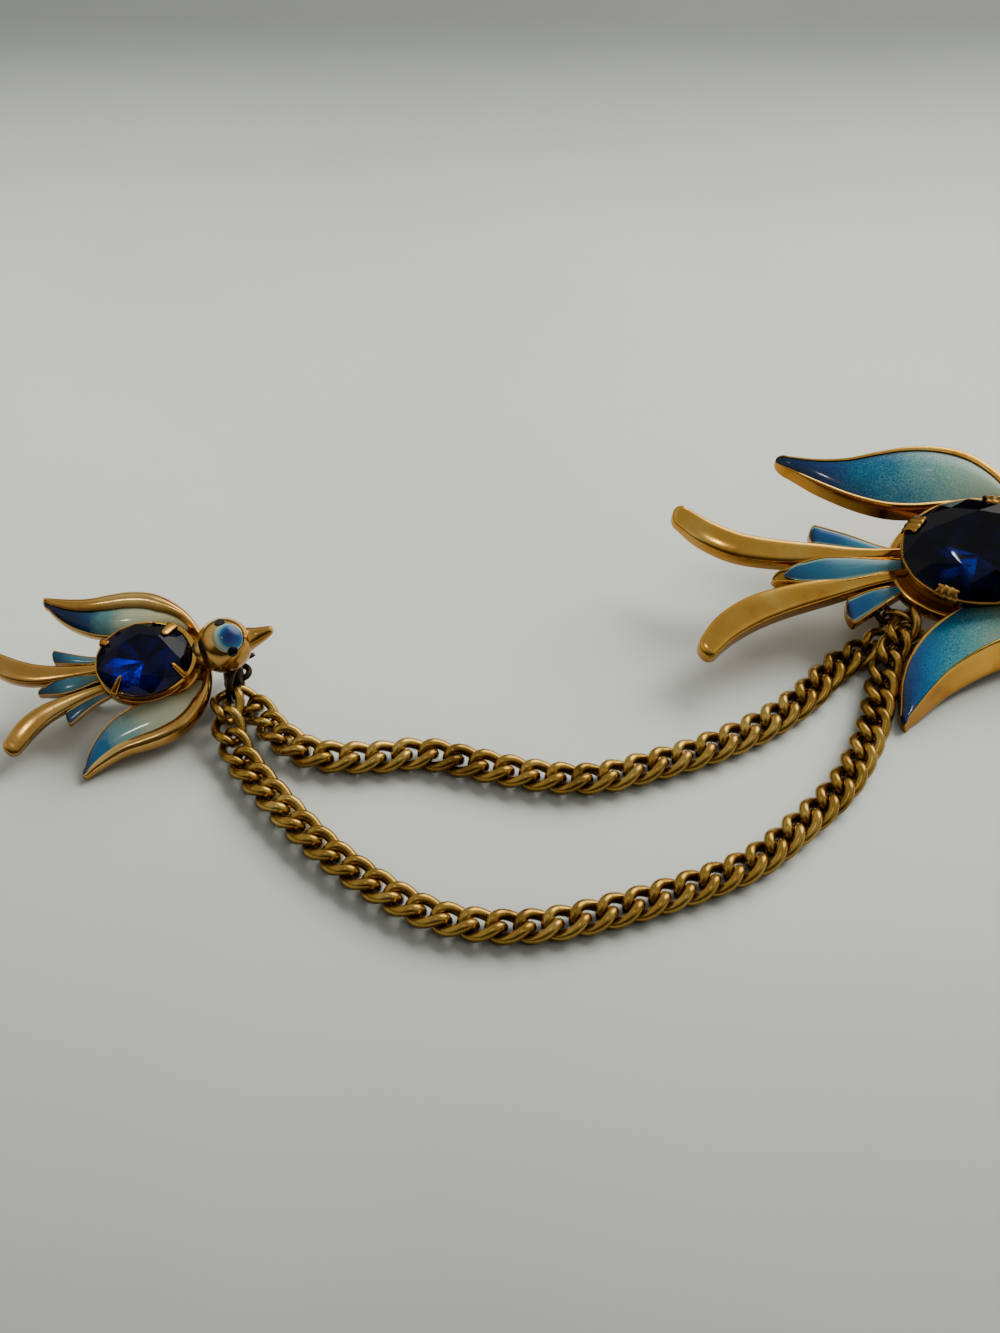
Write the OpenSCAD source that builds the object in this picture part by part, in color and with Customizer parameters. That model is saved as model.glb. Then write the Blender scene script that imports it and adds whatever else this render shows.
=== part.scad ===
/* [Small bird] */
// Length of the small oval stone
small_stone_l = 10; // [9.6:0.1:10.2]
// Width of the small oval stone
small_stone_w = 8.2; // [8:0.1:8.4]
// Radius of the small ball head
small_head_r = 2.9; // [2.7:0.05:3]
// Yaw of the small bird on the table, beak to the right and away
small_yaw = 17; // [15:1:19]
// Lean of the small bird onto its near wing
small_tilt = 24; // [22:1:25]
// Lift of the small bird's head
small_pitch = 2; // [1:0.5:3]

/* [Large bird] */
// Length of the large oval stone
large_stone_l = 18; // [17.6:0.1:18.2]
// Width of the large oval stone
large_stone_w = 13.2; // [12.8:0.1:13.4]
// Radius of the large ball head
large_head_r = 5.1; // [4.8:0.1:5.2]
// Yaw of the large bird
large_yaw = 8.5; // [7:0.5:10]
// Lean of the large bird onto its near wing
large_tilt = 17; // [16:1:18]
// Lift of the large bird's head, negative is down
large_pitch = -2; // [-3:0.5:-1]

/* [Chains] */
// Wire of a curb link
link_wire = 0.84; // [0.8:0.01:0.86]
// Width of a curb link outside
link_w = 3.6; // [3.55:0.05:3.65]
// Distance from one link to the next
link_pitch = 2.75; // [2.7:0.01:2.8]
// Wire of the two jump rings
ring_wire = 0.66; // [0.6:0.02:0.7]

/* [Fits] */
// Space between pieces that lie in or on each other
gap = 0.05; // [0.04:0.01:0.06]

/* [Hidden] */

// Where each bird's own origin, under its stone, stands on the table
small_at = [-38.1, -5.0, 4.6];
large_at = [53.2, 10.8, 5.35];
// Shift that centres the whole object on the origin
centring = [-11.6, 7.05, 0];

// Wing tables, root to tip: leading x, y, trailing x, y, height, width of the gold edge
SMALL_WING = [
    [6.9, 1.5, 5.7, 1.2, 1.5, 1.0],
    [6.6, 3.1, 5.0, 2.4, 1.6, 1.4],
    [5.8, 5.1, 4.0, 3.3, 1.8, 1.6],
    [4.3, 7.0, 2.6, 3.7, 1.9, 1.7],
    [2.5, 8.3, 0.9, 3.7, 2.0, 1.8],
    [0.2, 9.0, -1.2, 3.8, 2.0, 1.8],
    [-2.0, 9.2, -3.2, 4.3, 1.9, 1.7],
    [-4.0, 9.3, -5.0, 5.1, 1.8, 1.5],
    [-5.8, 9.7, -6.7, 6.4, 1.6, 1.2],
    [-7.4, 10.2, -7.9, 7.9, 1.4, 0.8],
    [-8.5, 10.6, -8.6, 9.2, 1.1, 0.5]];
SMALL_WING_TIP = [-8.95, 10.1, 0.5];
// The large bird's wings differ: the far one is swept back, the near one hangs down
LARGE_FAR_WING = [
    [8.5, 3.6, 7.0, 3.0, 2.2, 1.0],
    [7.7, 6.4, 5.9, 4.9, 2.4, 1.3],
    [6.4, 9.0, 4.3, 6.0, 2.5, 1.5],
    [4.6, 11.5, 2.4, 6.6, 2.7, 1.5],
    [2.0, 13.6, 0.2, 6.9, 2.8, 1.4],
    [-1.5, 14.6, -2.6, 6.9, 2.9, 1.1],
    [-5.2, 14.7, -5.6, 6.9, 2.9, 0.8],
    [-8.7, 14.3, -8.8, 7.4, 2.8, 0.6],
    [-12.2, 13.9, -12.2, 8.8, 2.6, 0.5],
    [-15.6, 14.2, -15.7, 11.0, 2.3, 0.4],
    [-18.6, 15.1, -18.8, 13.4, 1.8, 0.3]];
LARGE_FAR_TIP = [-20.0, 15.0, 0.9];
LARGE_NEAR_WING = [
    [8.5, 3.8, 7.0, 3.2, 2.2, 1.6],
    [8.4, 6.4, 6.2, 4.2, 2.4, 2.1],
    [7.4, 8.9, 4.8, 4.9, 2.5, 2.4],
    [5.4, 11.1, 3.0, 5.0, 2.7, 2.6],
    [2.4, 12.7, 0.8, 5.0, 2.8, 2.6],
    [-0.6, 13.6, -1.8, 5.5, 2.9, 2.5],
    [-3.6, 14.7, -4.8, 6.9, 2.9, 2.3],
    [-6.4, 16.0, -7.8, 8.9, 2.8, 2.0],
    [-8.8, 17.5, -10.2, 11.4, 2.6, 1.6],
    [-10.7, 18.8, -11.8, 14.3, 2.2, 1.0],
    [-11.9, 19.5, -12.6, 17.3, 1.7, 0.5]];
LARGE_NEAR_TIP = [-12.7, 19.4, 0.7];
// Outer wall of a wing's gold edge: part of the band's width, part of its height
SMALL_EDGE = [[0.1, 0], [0, 0.4], [0.18, 0.8], [0.5, 1], [0.82, 0.94]];
LARGE_EDGE = [[0, 0], [0.06, 0.16], [0.5, 0.62], [0.86, 1], [0.94, 1]];
// Back of a wing: rim, foot outside the rim, enamel level, rim level, recess
SMALL_BAND = [0.25, 0, 0.8, 0.62, 0.3];
LARGE_FAR_BAND = [0.4, 0.6, 0.96, 0.78, 0.25];
LARGE_NEAR_BAND = [0.4, 0, 0.96, 0.78, 0.25];

// Tail plume tables, root to tip: inner x, y, outer x, y, height
SMALL_PLUME = [
    [-3.5, 0.7, -3.5, 1.3, 1.1],
    [-6.5, 0.9, -6.4, 1.7, 1.1],
    [-9.0, 1.15, -8.8, 2.25, 1.1],
    [-11.4, 1.5, -11.0, 3.0, 1.1],
    [-13.4, 2.3, -12.7, 3.9, 1.1],
    [-15.1, 3.6, -14.2, 4.9, 1.0],
    [-15.9, 4.5, -15.1, 5.4, 0.8]];
SMALL_PLUME_TIP = [-15.9, 5.25, 0.4];
LARGE_PLUME = [
    [-7.0, 0.9, -7.0, 1.7, 1.8],
    [-13.0, 1.0, -12.8, 2.1, 1.8],
    [-18.0, 1.35, -17.7, 3.1, 1.8],
    [-23.0, 2.0, -22.4, 4.1, 1.8],
    [-27.2, 3.2, -26.3, 5.4, 1.8],
    [-30.6, 5.1, -29.4, 7.1, 1.7],
    [-32.6, 7.1, -31.4, 8.8, 1.4]];
LARGE_PLUME_TIP = [-32.8, 8.8, 0.7];
// Cross-section of a plume: part of its width from the inner edge, part of its height
PLUME_PROFILE = [[0, 0], [0, 0.72], [0.14, 1], [0.5, 0.95], [0.86, 0.7], [1, 0.45], [1, 0]];

// Middle tail leaf, root to tip: x, half width, height; the enamel ends at a row
SMALL_LEAF = [[-3.5, 0.35, 1.1], [-5.5, 0.5, 1.2], [-7.0, 0.8, 1.3], [-8.5, 0.95, 1.3],
    [-9.8, 0.8, 1.2], [-10.8, 0.5, 1.0]];
SMALL_LEAF_TIP = [-11.6, 0, 0.5];
LARGE_LEAF = [[-7.0, 0.7, 2.0], [-10.5, 1.0, 2.1], [-14.0, 1.5, 2.2], [-17.0, 1.75, 2.2],
    [-19.5, 1.4, 2.1], [-21.5, 0.85, 1.7]];
LARGE_LEAF_TIP = [-23.0, 0, 0.8];

// Short flared tail feathers, root to end: inner x, y, outer x, y, height
SMALL_FEATHER = [[-3.6, 1.5, -3.6, 2.1, 1.0], [-5.6, 1.75, -5.6, 2.7, 1.0],
    [-7.4, 2.2, -7.4, 3.5, 1.0], [-8.9, 2.7, -8.9, 4.3, 0.9]];
LARGE_FAR_FEATHER = [[-7.0, 0.7, -7.0, 1.4, 1.7], [-10.5, 1.3, -10.3, 2.4, 1.7],
    [-14.0, 2.2, -13.8, 4.2, 1.7], [-17.6, 3.2, -17.3, 5.9, 1.5]];
LARGE_NEAR_FEATHER = [[-6.6, 2.2, -6.6, 2.9, 1.7], [-9.6, 2.6, -9.3, 3.8, 1.7],
    [-12.6, 2.9, -12.4, 5.4, 1.7], [-15.4, 3.7, -15.4, 7.0, 1.5]];

// Prong angles on the stone's oval, one side; the other side mirrors them
SMALL_PRONGS = [43, 137];
LARGE_PRONGS = [19, 70, 127];

// Seat under each stone, half sizes and height; height of each girdle; heads and beaks
small_seat = [small_stone_l / 2 + 0.3, small_stone_w / 2 + 0.3];
large_seat = [large_stone_l / 2 + 0.9, large_stone_w / 2 + 0.7];
small_seat_h = 1.4;
large_seat_h = 1.8;
small_girdle_z = 3.2;
large_girdle_z = 4.4;
// Depths of each stone: girdle, crown above it, plain cone below it
small_girdle = 0.3;
small_crown = 1.4;
small_lower = 1.5;
large_girdle = 0.4;
large_crown = 2.1;
large_lower = 2.4;
// Each setting: wall outside the stone, ledge under it, width and reach of a claw
SMALL_CUP = [0.35, 0.4, 0.8, 0.9];
LARGE_CUP = [0.55, 0.7, 1.9, 1.0];
claw_out = 0.12;
// Ovals that the enamels end at, clear of each seat and setting, and the height cut above a seat
small_edge = small_seat + [0.35, 0.35];
large_edge = large_seat + [0.1, 0.16];
room_h = 9;
small_head_x = 8.6;
small_head_z = 2.95;
small_beak_l = 2.5;
large_head_x = 15.3;
large_head_z = 5.2;
large_beak_l = 4.3;
// Pin backs: bar from x to x, its width and thickness, height and radius of the hinge,
// height of the catch, radius of the stem, x of its tip
SMALL_PIN = [-6.5, 10, 2, 0.8, -3.4, 0.8, -2.7, 0.35, 11.95];
LARGE_PIN = [-11, 16, 2.8, 1, -3.9, 1, -3.5, 0.5, 20.5];
// Where the eyelet's arm starts inside each bar
SMALL_ARM = [9.4, -0.5, -0.45];
LARGE_ARM = [-6.2, -0.5, -0.55];
// The large bird's middle line lies off the wings' own, as the photo has it
large_core = [-0.4, -0.8, 0];
// Parts of a stone's radius: table, where kites meet, culet
table_r = 0.58;
mid_r = 0.8;
culet_r = 0.3;
// Directions from a head's centre to its crown patch and eyes
crown_dir = [0.05, 0, 1];
eye_dir = [-0.02, 0.64, 0.77];
// Parts of a head's radius: crown patch and eye
crown_r = 0.53;
eye_r = 0.13;
eyelet_r = 0.95;
eyelet_wire = 0.7;
// Rims of the tail's trays
small_rim = 0.15;
large_rim = 0.28;

// Jump rings in the table's frame: centre, radius of the wire's middle line
SMALL_RING = [[-28.66, -5.55, 2.97], 1.84];
LARGE_RING = [[44.4, 3.58, 2.54], 2.16];
// Where the upper chain, the lower chain and the bird's eyelet hold each ring, in degrees
SMALL_HOLDS = [246.2, 190.1, 2];
LARGE_HOLDS = [189.7, 114.9, 25.6];
small_ring_turn = 75.8;
large_ring_turn = 144.8;

// Chain routes on the table between the two rings
UPPER_ROUTE = [[-26.43, -7.45, 1.16], [-23.4, -11.6, 1.18], [-19.5, -14.2, 1.18],
    [-14, -14.7, 1.18], [-8, -14.2, 1.18], [-2.5, -15.6, 1.18], [4, -17.2, 1.18],
    [10, -17.5, 1.18], [16.5, -15.6, 1.18], [22.5, -13.2, 1.18], [28.5, -9.8, 1.18],
    [33.2, -5.8, 1.18], [37, -1.4, 1.18], [42.38, 2.17, 1.57]];
LOWER_ROUTE = [[-29.22, -10.04, 2.39], [-27.4, -14.6, 1.18], [-23.4, -20.3, 1.18],
    [-18.4, -26.3, 1.18], [-13, -31.2, 1.18], [-7, -35.1, 1.18], [-1, -36.6, 1.18],
    [5, -36.4, 1.18], [12, -34.5, 1.18], [19, -31.9, 1.18], [25.5, -28.7, 1.18],
    [30.8, -23.9, 1.18], [35.6, -18.6, 1.18], [39, -12.4, 1.18], [41.1, -6.2, 1.18],
    [42.4, -1.68, 2.06]];
// Turn of each chain about its own run: part of its length, degrees
UPPER_ROLL = [[0, 13], [0.047, 3], [0.13, 0], [0.3, 6], [0.5, -6], [0.72, 6], [0.87, 0],
    [0.953, 17.4], [1, 46]];
LOWER_ROLL = [[0, -29], [0.036, 11], [0.1, 0], [0.35, -6], [0.52, 7], [0.7, -6], [0.8, 6],
    [0.9, 0], [0.964, 9.3], [1, -13.8]];

// Half length and half width of a link's middle line, and the slack where two links meet
slack = 0.42;
link_a = (link_pitch + link_wire + slack) / 2;
link_b = (link_w - link_wire) / 2;
// Distance from a ring's wire to the middle of the link that holds it
ring_play = 0.16;
first_link = link_a - (ring_wire + link_wire) / 2 - ring_play;
// Twist of a link's ends, and how square its round is: 1 is an ellipse
link_turn = -60;
link_square = 0.85;
link_steps = 12;
wire_sides = 5;

// Turns a bird's own point into the table's frame
function bird_point(p, at, yaw, tilt, pitch) = let (
    y1 = p[1] * cos(tilt) - p[2] * sin(tilt),
    z1 = p[1] * sin(tilt) + p[2] * cos(tilt),
    x2 = p[0] * cos(pitch) - z1 * sin(pitch),
    z2 = p[0] * sin(pitch) + z1 * cos(pitch))
    [x2 * cos(yaw) - y1 * sin(yaw) + at[0], x2 * sin(yaw) + y1 * cos(yaw) + at[1], z2 + at[2]];

// Smooth rows through the rows of a table, steps rows to each of its own
function between(a, b, c, d, t) = 0.5 * (2 * b + (c - a) * t + (2 * a - 5 * b + 4 * c - d) * t * t
    + (3 * b - a - 3 * c + d) * t * t * t);
function smooth(rows, steps) = let (n = len(rows) - 1) concat(
    [for (i = [0:n - 1], k = [0:steps - 1])
        between(rows[max(i - 1, 0)], rows[i], rows[i + 1], rows[min(i + 2, n)], k / steps)],
    [rows[n]]);

// Closed skin over rings of equal length, with a point at each end
module loft(rings, start, end) {
    n = len(rings);
    m = len(rings[0]);
    sides = [for (i = [0:n - 2], j = [0:m - 1]) each [
        [i * m + j, (i + 1) * m + j, i * m + (j + 1) % m],
        [i * m + (j + 1) % m, (i + 1) * m + j, (i + 1) * m + (j + 1) % m]]];
    ends = [for (j = [0:m - 1]) each [
        [j, (j + 1) % m, n * m],
        [(n - 1) * m + (j + 1) % m, (n - 1) * m + j, n * m + 1]]];
    polyhedron(points = concat([for (r = rings) each r], [start, end]), faces = concat(sides, ends));
}
function backwards(rings) = [for (i = [len(rings) - 1:-1:0]) rings[i]];

// A ring of points over the line from a to b in plan, at distances u with heights z
function plan_ring(a, b, uz) = let (w = norm(b - a))
    [for (p = uz) [a[0] + (b[0] - a[0]) * p[0] / w, a[1] + (b[1] - a[1]) * p[0] / w, p[1]]];

// Gold edge and back of a wing: one ring for each row
function wing_ring(r, edge, band) = let (
    w = norm([r[2] - r[0], r[3] - r[1]]), h = r[4],
    b = min(r[5], 0.5 * w), rim = min(band[0], 0.16 * w),
    level = band[2] * h, back = band[3] * h, deep = band[4])
    plan_ring([r[0], r[1]], [r[2], r[3]], concat(
        [for (p = edge) [p[0] * b, p[1] * h]],
        [[b, level], [b, level - deep], [w - rim, back - deep], [w - rim, back],
        [w, back - 0.1], [w + min(band[1], 0.2 * w), 0]]));

// Enamel of a wing: lies in the recess, a gap clear all round
function enamel_ring(r, band) = let (
    w = norm([r[2] - r[0], r[3] - r[1]]), h = r[4],
    b = min(r[5], 0.5 * w) + gap, rim = min(band[0], 0.16 * w) + gap,
    level = band[2] * h, back = band[3] * h, deep = band[4] - 2.5 * gap, dome = 0.05 * w)
    plan_ring([r[0], r[1]], [r[2], r[3]], [
        [b, level - deep], [b, level - 0.04],
        [b + (w - rim - b) * 0.35, level * 0.65 + back * 0.35 + dome],
        [b + (w - rim - b) * 0.7, level * 0.3 + back * 0.7 + dome],
        [w - rim, back - 0.04], [w - rim, back - deep]]);
// Middle of an enamel ring's two upper edges
function middle(ring) = (ring[1] + ring[len(ring) - 2]) / 2;

module wing_metal(rows, tip, edge, band) {
    loft(backwards([for (r = smooth(rows, 2)) wing_ring(r, edge, band)]), tip,
        [rows[0][0] + 0.3, rows[0][1] - 0.8, 0.7]);
}

// The enamel keeps one row of the table clear at the root and half a row at the tip
module wing_glaze(rows, band) {
    fine = smooth(rows, 2);
    last = len(fine) - 2;
    loft(backwards([for (i = [3:last - 1]) enamel_ring(fine[i], band)]),
        middle(enamel_ring(fine[last], band)), middle(enamel_ring(fine[2], band)));
}

module plume(rows, tip) {
    loft([for (r = smooth(rows, 2)) let (w = norm([r[2] - r[0], r[3] - r[1]]))
        plan_ring([r[0], r[1]], [r[2], r[3]], [for (p = PLUME_PROFILE) [p[0] * w, p[1] * r[4]]])],
        [rows[0][0] + 0.5, (rows[0][1] + rows[0][3]) / 2, 0.5], tip);
}

// A rimmed tray across a row, and the enamel that lies in it
function tray_ring(r, rim, deep) = let (w = norm([r[2] - r[0], r[3] - r[1]]), h = r[4])
    plan_ring([r[0], r[1]], [r[2], r[3]], [[0, 0], [0, h], [rim, h], [rim, h - deep],
        [w - rim, h - deep], [w - rim, h], [w, h], [w, 0]]);
function fill_ring(r, rim, deep) = let (
    w = norm([r[2] - r[0], r[3] - r[1]]), h = r[4], a = rim + gap, b = w - rim - gap, dome = 0.05 * w)
    plan_ring([r[0], r[1]], [r[2], r[3]], [[a, h - deep + gap], [a, h - 0.03],
        [a + (b - a) * 0.35, h + dome], [a + (b - a) * 0.65, h + dome], [b, h - 0.03],
        [b, h - deep + gap]]);

// A leaf's rows are x, half width, height; as a tray they lie across the middle line
function leaf_rows(rows) = [for (r = smooth(rows, 2)) [r[0], -r[1], r[0], r[1], r[2]]];
module leaf_metal(rows, tip, rim) {
    loft([for (r = leaf_rows(rows)) tray_ring(r, min(rim, 0.3 * r[3]), 0.2)],
        [rows[0][0] + 0.5, 0, 0.6], tip);
}
module leaf_glaze(rows, rim) {
    fine = leaf_rows(rows);
    last = len(fine) - 2;
    loft([for (i = [1:last - 1]) fill_ring(fine[i], min(rim, 0.3 * fine[i][3]), 0.2)],
        [fine[0][0], 0, fine[0][4] - 0.04], [fine[last][0], 0, fine[last][4] - 0.04]);
}
module feather_metal(rows, rim) {
    end = rows[len(rows) - 1];
    loft(concat([for (r = smooth(rows, 2)) tray_ring(r, rim, 0.2)],
        [tray_ring(end - [0.15, 0, 0.15, 0, 0], rim, 0.05)]),
        [rows[0][0] + 0.5, (rows[0][1] + rows[0][3]) / 2, 0.5],
        [end[0] - 0.3 - rim, (end[1] + end[3]) / 2, end[4] / 2]);
}
module feather_glaze(rows, rim) {
    fine = smooth(rows, 2);
    rings = [for (i = [1:len(fine) - 1]) fill_ring(fine[i] + [gap, 0, gap, 0, 0], rim, 0.2)];
    loft(rings, middle(rings[0]) + [0.4, 0, 0], middle(rings[len(rings) - 1]) - [0.02, 0, 0.05]);
}

// Puts a bird's own shapes on the table
module stand(at, yaw, tilt, pitch) {
    translate(at + centring) rotate([tilt, -pitch, yaw]) children();
}
module stand_small() { stand(small_at, small_yaw, small_tilt, small_pitch) children(); }
module stand_large() { stand(large_at, large_yaw, large_tilt, large_pitch) children(); }

function oval(a, b, n) = [for (i = [0:n - 1]) [a * cos(i * 360 / n), b * sin(i * 360 / n)]];

// Room for a setting above its seat
module room(a, b, foot, cup) {
    out = cup[0] + claw_out + 3 * gap;
    translate([0, 0, foot]) linear_extrude(room_h) polygon(oval(a + out, b + out, 44));
}
// What the children keep clear of the seat and the setting
module around(edge) {
    difference() {
        children();
        translate([0, 0, -room_h / 2]) linear_extrude(2 * room_h) polygon(oval(edge[0], edge[1], 40));
    }
}

module around_large() {
    translate(large_core) around(large_edge) translate(-large_core) children();
}

// Seat under the stone, neck, ball head, beak, and the root of the tail
module body(seat, seat_h, head_x, head_z, head_r, beak_l) {
    linear_extrude(seat_h) polygon(oval(seat[0], seat[1], 28));
    translate([head_x, 0, head_z]) sphere(head_r, $fn = 20);
    hull() {
        translate([head_x, 0, head_z - 0.1 * head_r]) sphere(0.75 * head_r, $fn = 12);
        translate([seat[0] - 0.3 * head_r, 0, 0.42 * head_r]) sphere(0.4 * head_r, $fn = 12);
    }
    for (side = [-1, 1]) hull() {
        translate([seat[0] + 0.2 * head_r, side * 0.5 * head_r, 0.3 * head_r])
            sphere(0.28 * head_r, $fn = 8);
        translate([head_x - 0.4 * head_r, side * 0.2 * head_r, 0.38 * head_r])
            sphere(0.3 * head_r, $fn = 8);
    }
    hull() {
        translate([head_x + 0.72 * head_r, 0, head_z]) sphere(0.46 * head_r, $fn = 12);
        translate([head_x + head_r + 0.55 * beak_l, 0, head_z + 0.16 * head_r])
            sphere(0.2 * head_r, $fn = 12);
    }
    hull() {
        translate([head_x + head_r + 0.5 * beak_l, 0, head_z + 0.15 * head_r])
            sphere(0.21 * head_r, $fn = 12);
        translate([head_x + head_r + beak_l - 0.07 * head_r, 0, head_z + 0.38 * head_r])
            sphere(0.07 * head_r, $fn = 8);
    }
    for (side = [-1, 1], x = [0.72, 0.9]) hull() {
        translate([-x * seat[0], side * 0.12 * seat[1], 0.25 * seat_h])
            cube([0.2 * seat[0], 0.2 * seat[1], 0.5 * seat_h], center = true);
        translate([-0.6 * seat[0], side * 0.25 * seat[1], 0.25 * seat_h])
            cube([0.2 * seat[0], 0.3 * seat[1], 0.5 * seat_h], center = true);
    }
}

module small_casting() {
    color("goldenrod") stand_small() difference() {
        union() {
            body(small_seat, small_seat_h, small_head_x, small_head_z, small_head_r, small_beak_l);
            for (side = [0, 1]) mirror([0, side, 0]) {
                wing_metal(SMALL_WING, SMALL_WING_TIP, SMALL_EDGE, SMALL_BAND);
                plume(SMALL_PLUME, SMALL_PLUME_TIP);
                feather_metal(SMALL_FEATHER, small_rim);
            }
            leaf_metal(SMALL_LEAF, SMALL_LEAF_TIP, small_rim);
        }
        room(small_stone_l / 2, small_stone_w / 2, small_seat_h, SMALL_CUP);
    }
}
module large_casting() {
    color("goldenrod") stand_large() difference() {
        union() {
            translate(large_core) {
                body(large_seat, large_seat_h, large_head_x, large_head_z, large_head_r, large_beak_l);
                leaf_metal(LARGE_LEAF, LARGE_LEAF_TIP, large_rim);
            }
            for (side = [0, 1]) mirror([0, side, 0]) plume(LARGE_PLUME, LARGE_PLUME_TIP);
            wing_metal(LARGE_FAR_WING, LARGE_FAR_TIP, LARGE_EDGE, LARGE_FAR_BAND);
            feather_metal(LARGE_FAR_FEATHER, large_rim);
            mirror([0, 1, 0]) {
                wing_metal(LARGE_NEAR_WING, LARGE_NEAR_TIP, LARGE_EDGE, LARGE_NEAR_BAND);
                feather_metal(LARGE_NEAR_FEATHER, large_rim);
            }
        }
        translate(large_core) room(large_stone_l / 2, large_stone_w / 2, large_seat_h, LARGE_CUP);
    }
}

// Faceted oval stone: table, stars, kites and girdle facets over a plain lower cone.
// Half length, half width, height of the girdle's foot, girdle, crown and lower depth
module stone(a, b, foot, girdle, crown, lower) {
    mid = crown * (1 - mid_r * cos(22.5)) / (1 - table_r);
    function spot(r, t, z) = [a * r * cos(t), b * r * sin(t), z];
    top = foot + girdle;
    points = concat(
        [for (k = [0:7]) spot(table_r, k * 45, top + crown)],
        [for (k = [0:7]) spot(mid_r, k * 45 + 22.5, top + mid)],
        [for (k = [0:15]) spot(1, k * 22.5, top)],
        [for (k = [0:15]) spot(1, k * 22.5, foot)],
        [for (k = [0:15]) spot(culet_r, k * 22.5, foot - lower)]);
    polyhedron(points = points, faces = concat(
        [[for (k = [7:-1:0]) k]],
        [for (k = [0:7]) [k, (k + 1) % 8, 8 + k]],
        [for (k = [0:7]) [k, 8 + k, 16 + 2 * k, 8 + (k + 7) % 8]],
        [for (k = [0:7]) [8 + k, 16 + (2 * k + 1) % 16, 16 + 2 * k]],
        [for (k = [0:7]) [8 + k, 16 + (2 * k + 2) % 16, 16 + 2 * k + 1]],
        [for (k = [0:15]) [16 + k, 16 + (k + 1) % 16, 32 + (k + 1) % 16, 32 + k]],
        [for (k = [0:15]) [32 + k, 32 + (k + 1) % 16, 48 + (k + 1) % 16, 48 + k]],
        [[for (k = [0:15]) 48 + k]]));
}

module small_stone() {
    color("midnightblue") stand_small()
        stone(small_stone_l / 2, small_stone_w / 2, small_girdle_z, small_girdle, small_crown, small_lower);
}
module large_stone() {
    color("midnightblue") stand_large() translate(large_core)
        stone(large_stone_l / 2, large_stone_w / 2, large_girdle_z, large_girdle, large_crown, large_lower);
}

// Stamped cup with a ledge under the stone, and claws bent over its crown
module setting(a, b, foot, girdle_z, girdle, crown, lower, cup, claws) {
    wall = cup[0];
    ledge = cup[1];
    claw_w = cup[2];
    claw_l = cup[3];
    depth = lower * ledge / (b * (1 - culet_r)) + 2 * gap;
    slope = crown * (1 - mid_r * cos(22.5)) / (1 - table_r) / (b * (1 - mid_r));
    top = girdle_z + girdle;
    union() {
        translate([0, 0, foot]) linear_extrude(girdle_z - depth - foot) difference() {
            polygon(oval(a + wall, b + wall, 40));
            polygon(oval(a - ledge, b - ledge, 40));
        }
        translate([0, 0, girdle_z - depth - 0.01]) linear_extrude(depth + 0.5 * girdle) difference() {
            polygon(oval(a + wall, b + wall, 40));
            polygon(oval(a + 2 * gap, b + 2 * gap, 40));
        }
        for (t = claws, side = [-1, 1]) translate([a * cos(t), side * b * sin(t), 0])
            rotate([0, 0, side * atan2(sin(t) / b, cos(t) / a)]) rotate([90, 0, 0])
            translate([0, 0, -claw_w / 2]) linear_extrude(claw_w) polygon([
                [2.6 * gap, foot + 0.2], [wall + claw_out, foot + 0.2],
                [wall + claw_out, top + 0.2 * claw_l], [0.3 * wall, top + 0.45 * claw_l],
                [-claw_l, top + slope * claw_l + 0.5 * claw_l],
                [-claw_l - 0.05, top + slope * claw_l + 4 * gap], [2.6 * gap, top + 4 * gap]]);
    }
}
module small_setting() {
    color("gold") stand_small() setting(small_stone_l / 2, small_stone_w / 2, small_seat_h + gap,
        small_girdle_z, small_girdle, small_crown, small_lower, SMALL_CUP, SMALL_PRONGS);
}
module large_setting() {
    color("gold") stand_large() translate(large_core)
        setting(large_stone_l / 2, large_stone_w / 2, large_seat_h + gap,
        large_girdle_z, large_girdle, large_crown, large_lower, LARGE_CUP, LARGE_PRONGS);
}

module small_left_wing_enamel() {
    color("teal") stand_small() around(small_edge) wing_glaze(SMALL_WING, SMALL_BAND);
}
module small_right_wing_enamel() {
    color("teal") stand_small() around(small_edge) mirror([0, 1, 0]) wing_glaze(SMALL_WING, SMALL_BAND);
}
module large_left_wing_enamel() {
    color("teal") stand_large() around_large() wing_glaze(LARGE_FAR_WING, LARGE_FAR_BAND);
}
module large_right_wing_enamel() {
    color("teal") stand_large() around_large()
        mirror([0, 1, 0]) wing_glaze(LARGE_NEAR_WING, LARGE_NEAR_BAND);
}
module small_leaf_enamel() {
    color("steelblue") stand_small() around(small_edge) leaf_glaze(SMALL_LEAF, small_rim);
}
module large_leaf_enamel() {
    color("steelblue") stand_large() translate(large_core) around(large_edge)
        leaf_glaze(LARGE_LEAF, large_rim);
}
module small_left_feather_enamel() {
    color("steelblue") stand_small() around(small_edge) feather_glaze(SMALL_FEATHER, small_rim);
}
module small_right_feather_enamel() {
    color("steelblue") stand_small() around(small_edge)
        mirror([0, 1, 0]) feather_glaze(SMALL_FEATHER, small_rim);
}
module large_left_feather_enamel() {
    color("steelblue") stand_large() around_large() feather_glaze(LARGE_FAR_FEATHER, large_rim);
}
module large_right_feather_enamel() {
    color("steelblue") stand_large() around_large()
        mirror([0, 1, 0]) feather_glaze(LARGE_NEAR_FEATHER, large_rim);
}

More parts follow.
